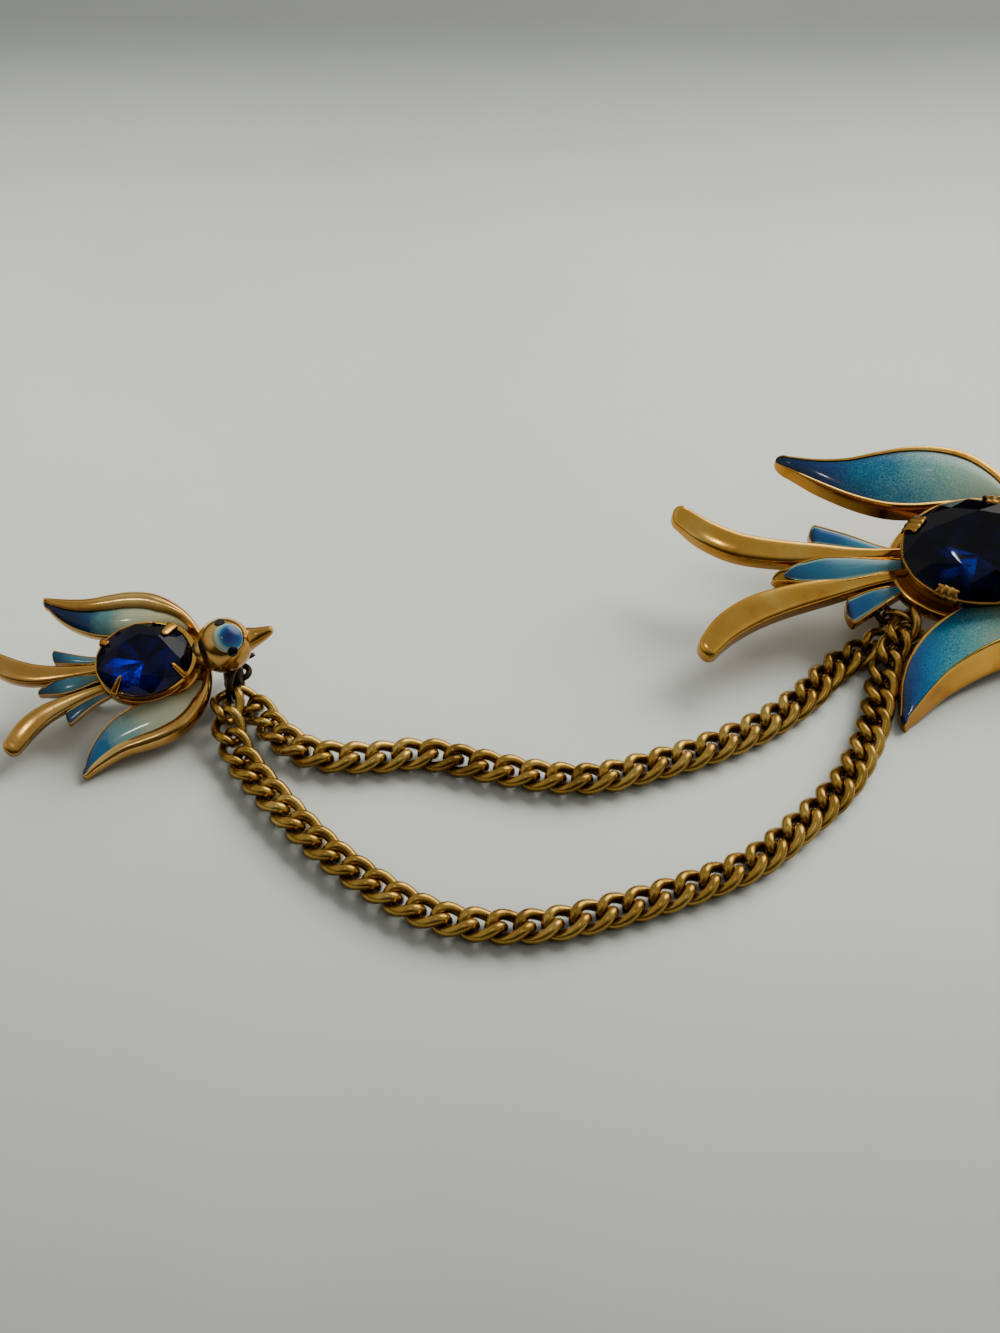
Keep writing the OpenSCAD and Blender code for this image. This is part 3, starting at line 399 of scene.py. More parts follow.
def noise(tree, scale, detail=3.0, rough=0.5):
    n = tree.nodes.new("ShaderNodeTexNoise")
    n.inputs["Scale"].default_value = scale
    n.inputs["Detail"].default_value = detail
    n.inputs["Roughness"].default_value = rough
    place = tree.nodes.new("ShaderNodeTexCoord").outputs["Object"]
    tree.links.new(place, n.inputs["Vector"])
    return n.outputs["Fac"]


def ramp(tree, value, stops, mode="EASE"):
    """A colour ramp: stops are (position, colour)."""
    r = tree.nodes.new("ShaderNodeValToRGB")
    r.color_ramp.interpolation = mode
    e = r.color_ramp.elements
    while len(e) < len(stops):
        e.new(0.5)
    for i, (position, colour) in enumerate(stops):
        e[i].position = position
        e[i].color = colour
    tree.links.new(value, r.inputs["Fac"])
    return r.outputs["Color"]


def math_node(tree, kind, a, b=0.0, clamp=False):
    n = tree.nodes.new("ShaderNodeMath")
    n.operation = kind
    n.use_clamp = clamp
    for socket, value in zip(n.inputs, (a, b)):
        if isinstance(value, (int, float)):
            socket.default_value = value
        else:
            tree.links.new(value, socket)
    return n.outputs[0]


def mix(tree, factor, a, b, kind="MIX"):
    n = tree.nodes.new("ShaderNodeMix")
    n.data_type = "RGBA"
    n.blend_type = kind
    for socket, value in ((n.inputs[0], factor), (n.inputs[6], a), (n.inputs[7], b)):
        if hasattr(value, "links"):
            tree.links.new(value, socket)
        else:
            socket.default_value = value
    return n.outputs[2]


def bump(tree, shader, height, strength, distance):
    n = tree.nodes.new("ShaderNodeBump")
    n.inputs["Strength"].default_value = strength
    n.inputs["Distance"].default_value = distance
    tree.links.new(height, n.inputs["Height"])
    tree.links.new(n.outputs["Normal"], shader.inputs["Normal"])


def parts(tree, vector):
    """The x, y and z of a vector, as outputs."""
    s = tree.nodes.new("ShaderNodeSeparateXYZ")
    tree.links.new(vector, s.inputs[0])
    return s.outputs


def mark(tree):
    """The (along, across) place value of a point, as two outputs."""
    a = tree.nodes.new("ShaderNodeAttribute")
    a.attribute_name = "mark"
    along, across, _ = parts(tree, a.outputs["Vector"])
    return along, across


def plated(name, light, mid, dark, rough, grain=0.25, hollow_tarnish_and_shade=0.5):
    """Plated metal: slow tone changes, tarnished hollows with painted shade in them, painted shade
    on steep sides, fine scratches.
    """
    m, tree, shader = material(name, Metallic=1.0)
    slow = noise(tree, 180, 4, 0.55)
    tone = ramp(tree, slow, [(0.22, dark), (0.46, mid), (0.72, light)])
    geometry = tree.nodes.new("ShaderNodeNewGeometry")
    # Tarnish and painted shade in hollows: concave places are darker
    raised = ramp(tree, geometry.outputs["Pointiness"], [(0.42, grey(0)), (0.52, grey(1))])
    hollow_shade_and_tarnish = math_node(tree, "MULTIPLY", math_node(tree, "SUBTRACT", 1.0, raised), hollow_tarnish_and_shade)
    shade = mix(tree, hollow_shade_and_tarnish, tone, scaled(dark, 0.35))
    # Painted shade: steep sides and undersides are darkened, as if turned away from the light
    up = parts(tree, geometry.outputs["Normal"])[2]
    steep = ramp(tree, up, [(0.1, grey(STEEP_PAINTED_SHADE)), (0.7, grey(0))])
    shade = mix(tree, steep, shade, scaled(dark, 0.5))
    tree.links.new(shade, shader.inputs["Base Color"])
    fine = noise(tree, 2600, 3, 0.6)
    both = math_node(tree, "ADD", math_node(tree, "MULTIPLY", slow, 0.6),
                     math_node(tree, "MULTIPLY", fine, 0.4))
    r = tree.nodes.new("ShaderNodeMapRange")
    r.inputs["To Min"].default_value, r.inputs["To Max"].default_value = rough
    tree.links.new(both, r.inputs["Value"])
    tree.links.new(r.outputs["Result"], shader.inputs["Roughness"])
    bump(tree, shader, fine, grain, 0.00002)
    return m


def enamel(name, stops, speckle, rough=0.1, across_shift=0.0, edge=None):
    """Glossy enamel whose colour runs along the piece, sprayed on in fine speckles."""
    m, tree, shader = material(name, Roughness=rough, IOR=1.5, Coat_Weight=0.2,
                               Coat_Roughness=0.04)

    def stray(part, *grain):
        middled = math_node(tree, "SUBTRACT", noise(tree, *grain), 0.5)
        return math_node(tree, "MULTIPLY", middled, part)

    along, across = mark(tree)
    place = math_node(tree, "ADD", along, stray(0.22, 260, 3))
    place = math_node(tree, "ADD", place, stray(speckle * 2, 5200, 2, 0.7))
    if across_shift:
        place = math_node(tree, "ADD", place, math_node(tree, "MULTIPLY", across, across_shift))
    colour = ramp(tree, place, stops)
    if edge is not None:
        rim = ramp(tree, across, edge[1])
        colour = mix(tree, rim, colour, edge[0])
    tree.links.new(colour, shader.inputs["Base Color"])
    bump(tree, shader, noise(tree, 900, 2), 0.12, 0.00003)
    return m


GOLD = plated("gold", rgb(255, 212, 112), rgb(248, 186, 80), rgb(188, 116, 40), (0.11, 0.23))
ROSE_GOLD = plated("rose_gold", rgb(252, 210, 126), rgb(230, 174, 88), rgb(158, 100, 42),
                   (0.11, 0.23))
OLD_GOLD = plated("old_gold", rgb(232, 194, 104), rgb(196, 154, 70), rgb(110, 78, 30),
                  (0.2, 0.33), 0.35, 1.0)
CLAW_GOLD = plated("claw_gold", rgb(226, 180, 100), rgb(190, 140, 64), rgb(112, 70, 28),
                   (0.2, 0.34), 0.5, 0.85)
# Dark metal for the pins; on the small jump ring and the post it is also painted shade under the
# small head
DARK_METAL_AND_SHADE = plated("dark_metal_and_shade", rgb(96, 72, 48), rgb(54, 40, 28), rgb(24, 18, 14),
                    (0.25, 0.42), 0.3)

# Lines along the edges of an enamel field: colour, and strength across the field
DARK_LINE = (rgb(14, 46, 54), [(0.0, grey(0.9)), (0.07, grey(0))])
PALE_LINE = (rgb(126, 156, 132), [(0.02, grey(0.8)), (0.13, grey(0)), (0.87, grey(0)),
                                  (0.98, grey(0.8))])
SMALL_FAR_ENAMEL = enamel("small_far_enamel", [
    (0.0, rgb(180, 172, 128)), (0.36, rgb(168, 174, 142)), (0.48, rgb(78, 124, 126)),
    (0.56, rgb(12, 54, 94)), (0.7, rgb(4, 24, 68)), (1.0, rgb(2, 12, 44))], 0.05)
SMALL_NEAR_ENAMEL = enamel("small_near_enamel", [
    (0.0, rgb(176, 170, 128)), (0.42, rgb(170, 178, 150)), (0.58, rgb(112, 156, 154)),
    (0.7, rgb(24, 98, 138)), (0.86, rgb(2, 68, 126)), (1.0, rgb(2, 44, 98))], 0.05)
FAR_ENAMEL = enamel("far_enamel", [
    (0.0, rgb(146, 152, 122)), (0.24, rgb(134, 158, 136)), (0.43, rgb(80, 130, 128)),
    (0.6, rgb(20, 92, 120)), (0.75, rgb(6, 48, 98)), (1.0, rgb(2, 22, 64))],
    0.3, 0.12, edge=DARK_LINE)
NEAR_ENAMEL = enamel("near_enamel", [
    (0.0, rgb(162, 170, 142)), (0.34, rgb(138, 168, 148)), (0.5, rgb(78, 148, 150)),
    (0.66, rgb(22, 108, 144)), (0.85, rgb(6, 68, 126)), (1.0, rgb(4, 40, 92))],
    0.26, 0.12, 0.18)
TAIL_ENAMEL = enamel("tail_enamel", [
    (0.0, rgb(92, 144, 150)), (0.35, rgb(50, 114, 138)), (0.62, rgb(12, 68, 112)),
    (1.0, rgb(4, 34, 78))], 0.12, 0.14, edge=PALE_LINE)
SMALL_TAIL_ENAMEL = enamel("small_tail_enamel", [
    (0.0, rgb(128, 152, 144)), (0.4, rgb(52, 104, 118)), (0.7, rgb(14, 62, 88)),
    (1.0, rgb(8, 40, 66))], 0.06, 0.14)
LEAF_ENAMEL = enamel("leaf_enamel", [
    (0.0, rgb(88, 132, 134)), (0.4, rgb(44, 100, 118)), (0.8, rgb(16, 66, 100)),
    (1.0, rgb(8, 44, 80))], 0.12, 0.14, edge=PALE_LINE)
CROWN_ENAMEL = enamel("crown_enamel", [
    (0.0, rgb(2, 14, 66)), (0.4, rgb(4, 38, 98)), (0.62, rgb(22, 84, 122)),
    (0.8, rgb(106, 150, 150)), (1.0, rgb(168, 182, 160))], 0.06, 0.08)
EYE_ENAMEL = enamel("eye_enamel", [(0.0, rgb(6, 6, 10)), (1.0, rgb(14, 14, 20))], 0.0, 0.06)


def stone_materials(name, glass, foil, foil_light):
    """Clear coloured crown, and a foiled lower cone seen through it."""
    crown, tree, shader = material(name + "_glass", Roughness=0.015, IOR=1.36,
                                   Transmission_Weight=1.0, Specular_IOR_Level=0.12)
    haze = ramp(tree, noise(tree, 400, 2), [(0.3, glass), (0.75, scaled(glass, 1.25))])
    tree.links.new(haze, shader.inputs["Base Color"])
    back, tree, shader = material(name + "_foil", Metallic=1.0, Roughness=0.22)
    sheen = ramp(tree, noise(tree, 320, 3, 0.6), [(0.35, foil), (0.7, foil_light)])
    tree.links.new(sheen, shader.inputs["Base Color"])
    bump(tree, shader, noise(tree, 1500, 2), 0.15, 0.00003)
    return [crown, back]


SMALL_GLASS = stone_materials("small_stone", rgb(20, 32, 132), rgb(5, 15, 92), rgb(22, 50, 176))
LARGE_GLASS = stone_materials("large_stone", rgb(30, 46, 98), rgb(5, 14, 48), rgb(34, 72, 142))


def wing_metal(shape, rows, tip, edge, band, mirror):
    """Rounded gold band, recess and back rim of a wing."""
    fine_edge = spline(edge, 4)
    rings = []
    for r in tipped(rows, tip, WING_STEPS):
        w, h = width(r), r[4]
        b = min(r[5], 0.5 * w)
        rim, foot = min(band[0], 0.16 * w), min(band[1], 0.2 * w)
        level, back, deep = band[2] * h, band[3] * h, min(band[4], 0.5 * w)
        uz = [(u * b, z * h) for u, z in fine_edge]
        uz += [(0.97 * b, 0.5 * (uz[-1][1] + level)), (b, level - 0.1 * deep), (b, level - deep),
               (w - rim, back - deep), (w - rim, back - 0.06), (w - 0.75 * rim, back),
               (w - 0.25 * rim, back), (w, back - 0.1), (w + 0.5 * foot, 0.45 * back),
               (w + foot, 0)]
        rings.append(plan_ring(r, uz))
    start = [rows[0][0] + 0.3, rows[0][1] - 0.8, 0.7]
    shape.add(*loft(rings, start, tip), mirror=mirror)


def wing_glaze(shape, rows, tip, band, mirror):
    """Domed enamel in a wing's recess, marked with its place from root to tip and across."""
    fine = tipped(rows, tip, WING_STEPS)[8:-2]
    rings, marks = [], []
    across = np.linspace(0, 1, 9)
    for k, r in enumerate(fine):
        w, h = width(r), r[4]
        b = min(r[5], 0.5 * w) + 0.01
        rim = min(band[0], 0.16 * w) + 0.01
        level, back, deep = band[2] * h, band[3] * h, min(band[4] - 0.02, 0.48 * w)
        dome = 0.055 * w
        uz = [(b, level - deep)]
        uz += [(b + (w - rim - b) * a,
                level * (1 - a) + back * a - 0.03 + dome * 4 * a * (1 - a)) for a in across]
        uz += [(w - rim, back - deep)]
        rings.append(plan_ring(r, uz))
        marks += [(k / (len(fine) - 1), a) for a in [0, *across, 1]]
    ends = [0.5 * (rings[i][1] + rings[i][-2]) for i in (0, -1)]
    start = ends[0] + 0.3 * (ends[0] - 0.5 * (rings[2][1] + rings[2][-2]))
    shape.add(*loft(rings, start, ends[1]), marks + END_MARKS, mirror=mirror)


def root(rows):
    """The point under the root of a plume, leaf or feather."""
    return [rows[0][0] + 0.5, (rows[0][1] + rows[0][3]) / 2, 0.5]


def plume(shape, rows, tip, mirror, profile=PLUME_PROFILE):
    profile = spline(profile, 4)
    rings = [plan_ring(r, [(u * width(r), z * r[4]) for u, z in profile])
             for r in tipped(rows, tip, WING_STEPS, 0.8)]
    shape.add(*loft(rings, root(rows), tip), mirror=mirror)


def tray(shape, rows, rim, mirror, end, blunt=1.0):
    """Rimmed tray with rounded rims and a rounded end."""
    rings = []
    for r in tipped(rows, end, TAIL_STEPS, blunt):
        w, h = width(r), r[4]
        m, deep = min(rim, 0.3 * w), min(0.2, 0.5 * w)
        rings.append(plan_ring(r, [
            (0, 0), (0, h - 0.25 * m), (0.25 * m, h), (0.75 * m, h), (m, h - 0.25 * m),
            (m, h - deep), (w - m, h - deep), (w - m, h - 0.25 * m), (w - 0.75 * m, h),
            (w - 0.25 * m, h), (w, h - 0.25 * m), (w, 0)]))
    shape.add(*loft(rings, root(rows), end), mirror=mirror)


def filled(shape, rows, rim, mirror, end, blunt=1.0):
    """Domed enamel in a tray, marked along and across."""
    fine = tipped(rows, end, TAIL_STEPS, blunt)[:-2]
    rings, marks = [], []
    across = np.linspace(0, 1, 7)
    for k, r in enumerate(fine):
        w, h = width(r), r[4]
        m, deep = min(rim, 0.3 * w), min(0.18, 0.45 * w)
        uz = [(m, h - deep)]
        uz += [(m + (w - 2 * m) * a, h - 0.03 + 0.05 * w * 4 * a * (1 - a)) for a in across]
        uz += [(w - m, h - deep)]
        rings.append(plan_ring(r, uz))
        marks += [(k / (len(fine) - 1), a) for a in [0, *across, 1]]
    ends = [0.5 * (rings[i][0] + rings[i][-1]) for i in (0, -1)]
    shape.add(*loft(rings, *ends), marks + END_MARKS, mirror=mirror)


def tube(shape, rows, sides):
    """Round body along rows of x, z and radius, with rings square to its path."""
    p = np.array([(x, 0, z) for x, z, _ in rows], float)
    rings = []
    for i, (c, r) in enumerate(zip(p, rows[:, 2])):
        d = unit(p[min(i + 1, len(p) - 1)] - p[max(i - 1, 0)])
        up = np.array([-d[2], 0, d[0]])
        side = np.cross(up, d)
        rings.append([c + r * (math.cos(a) * side + math.sin(a) * up) for a in turns(sides)])
    start = p[0] - 0.2 * rows[0][2] * (p[1] - p[0])
    shape.add(*loft(rings, start, p[-1] + 0.3 * (p[-1] - p[-2])))


def seat(shape, half_l, half_w, top, shift):
    """Rounded oval band under a stone."""
    profile = [(-0.6, 0), (-0.1, 0), (0.06, 0.2 * top), (0.12, 0.5 * top), (0.06, 0.82 * top),
               (-0.06, 0.96 * top), (-0.25, top), (-0.8, top)]
    rings = [[((half_l + o) * math.cos(a), (half_w + o) * math.sin(a), z) for a in turns(72)]
             for o, z in profile]
    shape.add(*loft(rings, (0, 0, 0), (0, 0, top)), shift=shift)


def ball(shape, x, z, r):
    rings = [[(x + r * math.sin(t) * math.cos(a), r * math.sin(t) * math.sin(a),
               z - r * math.cos(t)) for a in turns(48)] for t in np.linspace(0, math.pi, 28)[1:-1]]
    shape.add(*loft(rings, (x, 0, z - r), (x, 0, z + r)))


def head(shape, x, z, r, seat_l, beak_l, shift):
    """Neck, ball head and upturned beak, on the bird's middle line."""
    part = Shape()
    tube(part, spline([[seat_l - 0.6 * r, 0.34 * r, 0.44 * r],
                       [seat_l + 0.1 * r, 0.5 * r, 0.52 * r],
                       [x - 0.75 * r, z - 0.2 * r, 0.62 * r],
                       [x - 0.2 * r, z - 0.05 * r, 0.8 * r]], 4), 32)
    ball(part, x, z, r)
    tube(part, spline([[x + 0.62 * r, z + 0.02 * r, 0.6 * r],
                       [x + 0.96 * r, z + 0.08 * r, 0.42 * r],
                       [x + r + 0.3 * beak_l, z + 0.16 * r, 0.32 * r],
                       [x + r + 0.66 * beak_l, z + 0.31 * r, 0.23 * r],
                       [x + r + 0.88 * beak_l, z + 0.42 * r, 0.16 * r],
                       [x + r + 0.96 * beak_l, z + 0.46 * r, 0.1 * r]], 5), 24)
    shape.add(np.concatenate(part.points), part.faces, shift=shift)


def cap(shape, centre, ball_r, direction, patch_r, thick, lean=0.0):
    """Thin round patch on a ball, with a rounded edge, marked by its distance from the middle."""
    d = unit(np.array(direction, float))
    side = unit(np.cross([0, 1, 0], d))
    up = np.cross(d, side)
    widest = math.asin(patch_r / ball_r)
    rows = [(t, ball_r + thick * min(1, 2.6 * (1 - t) ** 0.5)) for t in np.linspace(0.06, 1, 14)]
    rings, marks = [], []
    for t, r in rows[::-1]:
        ring = []
        for a in turns(40):
            out = math.cos(a) * side + math.sin(a) * up
            ring.append(centre + r * (math.cos(t * widest) * d + math.sin(t * widest) * out))
            marks.append((t + lean * t * math.cos(a), a))
        rings.append(ring)
    points, faces = loft(rings, centre + 0.9 * ball_r * d, centre + (ball_r + thick) * d)
    shape.add(points, faces, marks + [(1, 0), (0, 0)])


def gem(shape, a, b, girdle_z, girdle, crown, lower, shift=(0, 0, 0)):
    """Oval cut: table, 8 stars, 8 kites, 16 upper girdle facets, and a faceted lower cone."""
    table_r, mid_r = 0.58, 0.8
    mid = crown * (1 - mid_r * math.cos(math.radians(22.5))) / (1 - table_r)
    top = girdle_z + girdle

    def spot(r, t, z):
        return (a * r * math.cos(math.radians(t)), b * r * math.sin(math.radians(t)), z)

    points = [spot(table_r, k * 45, top + crown) for k in range(8)]
    points += [spot(mid_r, k * 45 + 22.5, top + mid) for k in range(8)]
    points += [spot(1, k * 22.5, top) for k in range(16)]
    points += [spot(1, k * 22.5, girdle_z) for k in range(16)]
    points += [spot(0.55, k * 45 + 22.5, girdle_z - 0.56 * lower) for k in range(8)]
    points += [(0, 0, girdle_z - lower)]
    above = [list(range(8))]
    above += [[(k + 1) % 8, k, 8 + k] for k in range(8)]
    above += [[8 + (k + 7) % 8, 16 + 2 * k, 8 + k, k] for k in range(8)]
    above += [[16 + 2 * k, 16 + (2 * k + 1) % 16, 8 + k] for k in range(8)]
    above += [[16 + 2 * k + 1, 16 + (2 * k + 2) % 16, 8 + k] for k in range(8)]
    above += [[32 + k, 32 + (k + 1) % 16, 16 + (k + 1) % 16, 16 + k] for k in range(16)]
    below = [[48 + k, 32 + (2 * k + 1) % 16, 32 + 2 * k] for k in range(8)]
    below += [[48 + k, 32 + (2 * k + 2) % 16, 32 + 2 * k + 1] for k in range(8)]
    below += [[56, 48 + k, 32 + (2 * k + 2) % 16, 48 + (k + 1) % 8] for k in range(8)]
    shape.add(points, above + below, slots=[0] * len(above) + [1] * len(below), shift=shift)


def cup(shape, a, b, foot, top, wall, swell, inset, shift=(0, 0, 0)):
    """Wall under a stone, set in below the girdle, with a thin lip that swells to the head."""

    def oval(out, z):
        return [((a + out) * math.cos(t), (b + out) * math.sin(t), z) for t in turns(96)]

    high = top - foot
    rings = []
    for share, z in ((0.0, foot), (0.0, foot + 0.5 * high), (0.25, foot + 0.68 * high),
                     (0.8, foot + 0.8 * high), (1.0, foot + 0.88 * high), (1.0, top - 0.05),
                     (0.8, top), (0.55, top - 0.02)):
        ring = []
        for t in turns(96):
            rise = swell * max(0, math.cos(t)) ** 2
            o = -inset + (wall + rise + inset) * share
            ring.append(((a + o) * math.cos(t), (b + o) * math.sin(t), z + 0.3 * rise))
        rings.append(ring)
    rings += [oval(-0.02, top - 0.1), oval(-inset - 0.3, foot), rings[0]]
    shape.add(*loft(rings), shift=shift)


def claw(shape, sizes, angle, side, foot, top, wall, wide, reach, teeth, pointed,
         shift=(0, 0, 0)):
    """Prong bent over a stone's crown: rows along it, outside to tip; teeth mill its end."""
    a, b, _, _, crown, _ = sizes
    slope = crown / (b * CROWN_RUN)
    t = math.radians(angle)
    base = np.array([a * math.cos(t), side * b * math.sin(t), 0])
    out = unit(np.array([math.cos(t) / a, side * math.sin(t) / b, 0]))
    across = np.array([-out[1], out[0], 0])
    rows = spline([(wall + 0.02, foot, 1.0), (wall + 0.08, 0.5 * (foot + top), 1.0),
                   (wall + 0.05, top, 1.0), (0.4 * wall, top + 0.3, 0.95),
                   (-0.4 * reach, top + 0.36 + 0.4 * reach * slope, 0.8),
                   (-0.85 * reach, top + 0.26 + 0.85 * reach * slope, 0.5 + 0.5 * pointed),
                   (-reach, top + 0.12 + reach * slope, pointed)], 4)
    n = 40 if teeth else 12
    rings = []
    for k, (o, z, w) in enumerate(rows):
        d = unit(rows[min(k + 1, len(rows) - 1)][:2] - rows[max(k - 1, 0)][:2])
        normal = out * d[1] + np.array([0, 0, -d[0]])
        ring = []
        for q in turns(n):
            v = math.sin(q) * 0.13 * min(1.4, 0.7 + wide * 0.25)
            u = math.cos(q) * 0.5 * wide * w
            if teeth:
                v *= 1 + 0.35 * math.sin(teeth * math.pi * (u / wide + 0.5))
            ring.append(base + out * o + across * u + normal * v + np.array([0, 0, z]))
        rings.append(ring)
    shape.add(*loft(rings, np.mean(rings[0], 0), np.mean(rings[-1], 0)), shift=shift)


def ring_point(ring, angle):
    """The point of a jump ring's middle line at an angle, in degrees."""
    centre, r, turn = ring
    a, t = math.radians(angle), math.radians(turn)
    way = np.array([math.cos(a) * math.cos(t), math.cos(a) * math.sin(t), math.sin(a)])
    return np.array(centre) + r * way


def torus(shape, ring, wire):
    centre, r, turn = ring
    t = math.radians(turn)
    x, y = np.array([math.cos(t), math.sin(t), 0]), np.array([0.0, 0, 1])
    z = np.cross(x, y)
    rings = []
    for a in turns(64):
        out = math.cos(a) * x + math.sin(a) * y
        rings.append([np.array(centre) + (r + wire / 2 * math.cos(q)) * out
                      + wire / 2 * math.sin(q) * z for q in turns(16)])
    rings.append(rings[0])
    shape.add(*loft(rings))


def link_wire(wire):
    """One twisted link about the chain's run: rings of its wire."""

    def line(t):
        f = math.radians(LINK_TURN) * np.cos(t)
        x = np.sign(np.cos(t)) * np.abs(np.cos(t)) ** LINK_SQUARE
        y = np.sign(np.sin(t)) * np.abs(np.sin(t)) ** LINK_SQUARE
        return np.stack([LINK_A * x, LINK_B * y * np.cos(f), LINK_B * y * np.sin(f)], -1)

    t = turns(30)
    c = line(t)
    along = line(t + 0.03) - line(t - 0.03)
    along /= np.linalg.norm(along, axis=1)[:, None]
    out = c - along * (c * along).sum(1)[:, None]
    out /= np.linalg.norm(out, axis=1)[:, None]
    up = np.cross(along, out)
    rings = [[c[i] + wire / 2 * (out[i] * math.cos(a) + up[i] * math.sin(a)) for a in turns(10)]
             for i in range(len(t))]
    rings.append(rings[0])
    return loft(rings)


def chain(name, route, roll, node):
    """All links of a chain from ring to ring, in one piece."""
    p = spline(route, 8)
    s = np.concatenate([[0], np.cumsum(np.linalg.norm(np.diff(p, axis=0), axis=1))])
    total = s[-1]
    count = round((total - 2 * FIRST_LINK) / LINK_PITCH)
    step = (total - 2 * FIRST_LINK) / count
    # The three links at each end are thinner than the rest
    shapes = [(*link_wire(w), np.array([0, 0, (w - CAD_WIRE) / 2]))
              for w in (END_WIRE, SHOWN_WIRE)]
    roll = np.array(roll)

    def at(q):
        return np.array([np.interp(q, s, p[:, c]) for c in range(3)])

    shape = Shape()
    for i in range(count + 1):
        q = FIRST_LINK + i * step
        x = unit(at(min(q + 1, total)) - at(max(q - 1, 0)))
        y = unit(np.cross([0, 0, 1], x))
        z = np.cross(x, y)
        f = math.radians(np.interp(q / total, roll[:, 0], roll[:, 1]))
        y, z = y * math.cos(f) + z * math.sin(f), z * math.cos(f) - y * math.sin(f)
        points, faces, lift = shapes[2 < i < count - 2]
        placed = points[:, :1] * x + points[:, 1:2] * y + points[:, 2:] * z
        shape.add(at(q) + lift + placed, faces)
    shape.piece(name, [OLD_GOLD], [node], sharp=80)


def round_end(rows, reach):
    """The point just past a table's last row."""
    end = rows[-1]
    return (end[0] - reach, (end[1] + end[3]) / 2, end[4] / 2)


def face(name, centre, r, thick, place):
    """Crown patch and eyes of a head."""
    patch = Shape()
    cap(patch, centre, r, CROWN_DIR, CROWN_R * r, 0.6 * thick, CROWN_LEAN)
    patch.piece(f"{name}_crown_glaze", [CROWN_ENAMEL], [f"{name}_crown_enamel"],
                place)
    eyes = Shape()
    for direction in EYES:
        cap(eyes, centre, r, direction, EYE_R * r, thick)
    eyes.piece(f"{name}_eye_glaze", [EYE_ENAMEL], [f"{name}_eyes"], place)


def small_bird():
    metal = Shape()
    for sizes in SMALL_SEATS:
        seat(metal, *sizes)
    head(metal, *SMALL_HEAD, (0, SMALL_HEAD_Y, 0))
    leaf = [[x, -w, x, w, h] for x, w, h in SMALL_LEAF]
    end = round_end(SMALL_FEATHER, 0.4)
    far_wing = [[*row[:5], row[5] * FAR_EDGE_WIDER] for row in SMALL_WING]
    sides = (("left", far_wing, SMALL_FAR_PLUME, False, SMALL_FAR_ENAMEL),
             ("right", SMALL_WING, SMALL_NEAR_PLUME, True, SMALL_NEAR_ENAMEL))
    for _, wing, feathers, mirror, _ in sides:
        wing_metal(metal, wing, SMALL_WING_TIP, SMALL_EDGE, SMALL_BAND, mirror)
        plume(metal, feathers, SMALL_PLUME_TIP, mirror)
        tray(metal, SMALL_FEATHER, SMALL_RIM, mirror, end, 0.8)
    tray(metal, leaf, SMALL_RIM, False, SMALL_LEAF_TIP)
    metal.piece("small_bird_metal", [ROSE_GOLD], ["small_casting"], SMALL_STAND)
    for side, wing, _, mirror, colour in sides:
        glaze = Shape()
        wing_glaze(glaze, wing, SMALL_WING_TIP, SMALL_BAND, mirror)
        glaze.piece(f"small_{side}_wing_glaze", [colour], [f"small_{side}_wing_enamel"],
                    SMALL_STAND)
        glaze = Shape()
        filled(glaze, SMALL_FEATHER, SMALL_RIM, mirror, end, 0.8)
        glaze.piece(f"small_{side}_feather_glaze", [SMALL_TAIL_ENAMEL],
                    [f"small_{side}_feather_enamel"], SMALL_STAND)
    glaze = Shape()
    filled(glaze, leaf, SMALL_RIM, False, SMALL_LEAF_TIP)
    glaze.piece("small_leaf_glaze", [SMALL_TAIL_ENAMEL], ["small_leaf_enamel"],
                SMALL_STAND)
    x, z, r = SMALL_HEAD[:3]
    face("small", np.array([x, SMALL_HEAD_Y, z]), r, SMALL_EYE, SMALL_STAND)
    stone = Shape()
    gem(stone, *SMALL_GEM)
    stone.piece("small_gem", SMALL_GLASS, ["small_stone"], SMALL_STAND, smooth=False)
    setting = Shape()
    cup(setting, *SMALL_GEM[:2], *SMALL_CUP)
    for angle, side, wide, reach, pointed in SMALL_CLAWS:
        claw(setting, SMALL_GEM, angle, side, *SMALL_CLAW, wide, reach, 0, pointed)
    setting.piece("small_claws", [GOLD], ["small_setting"], SMALL_STAND)


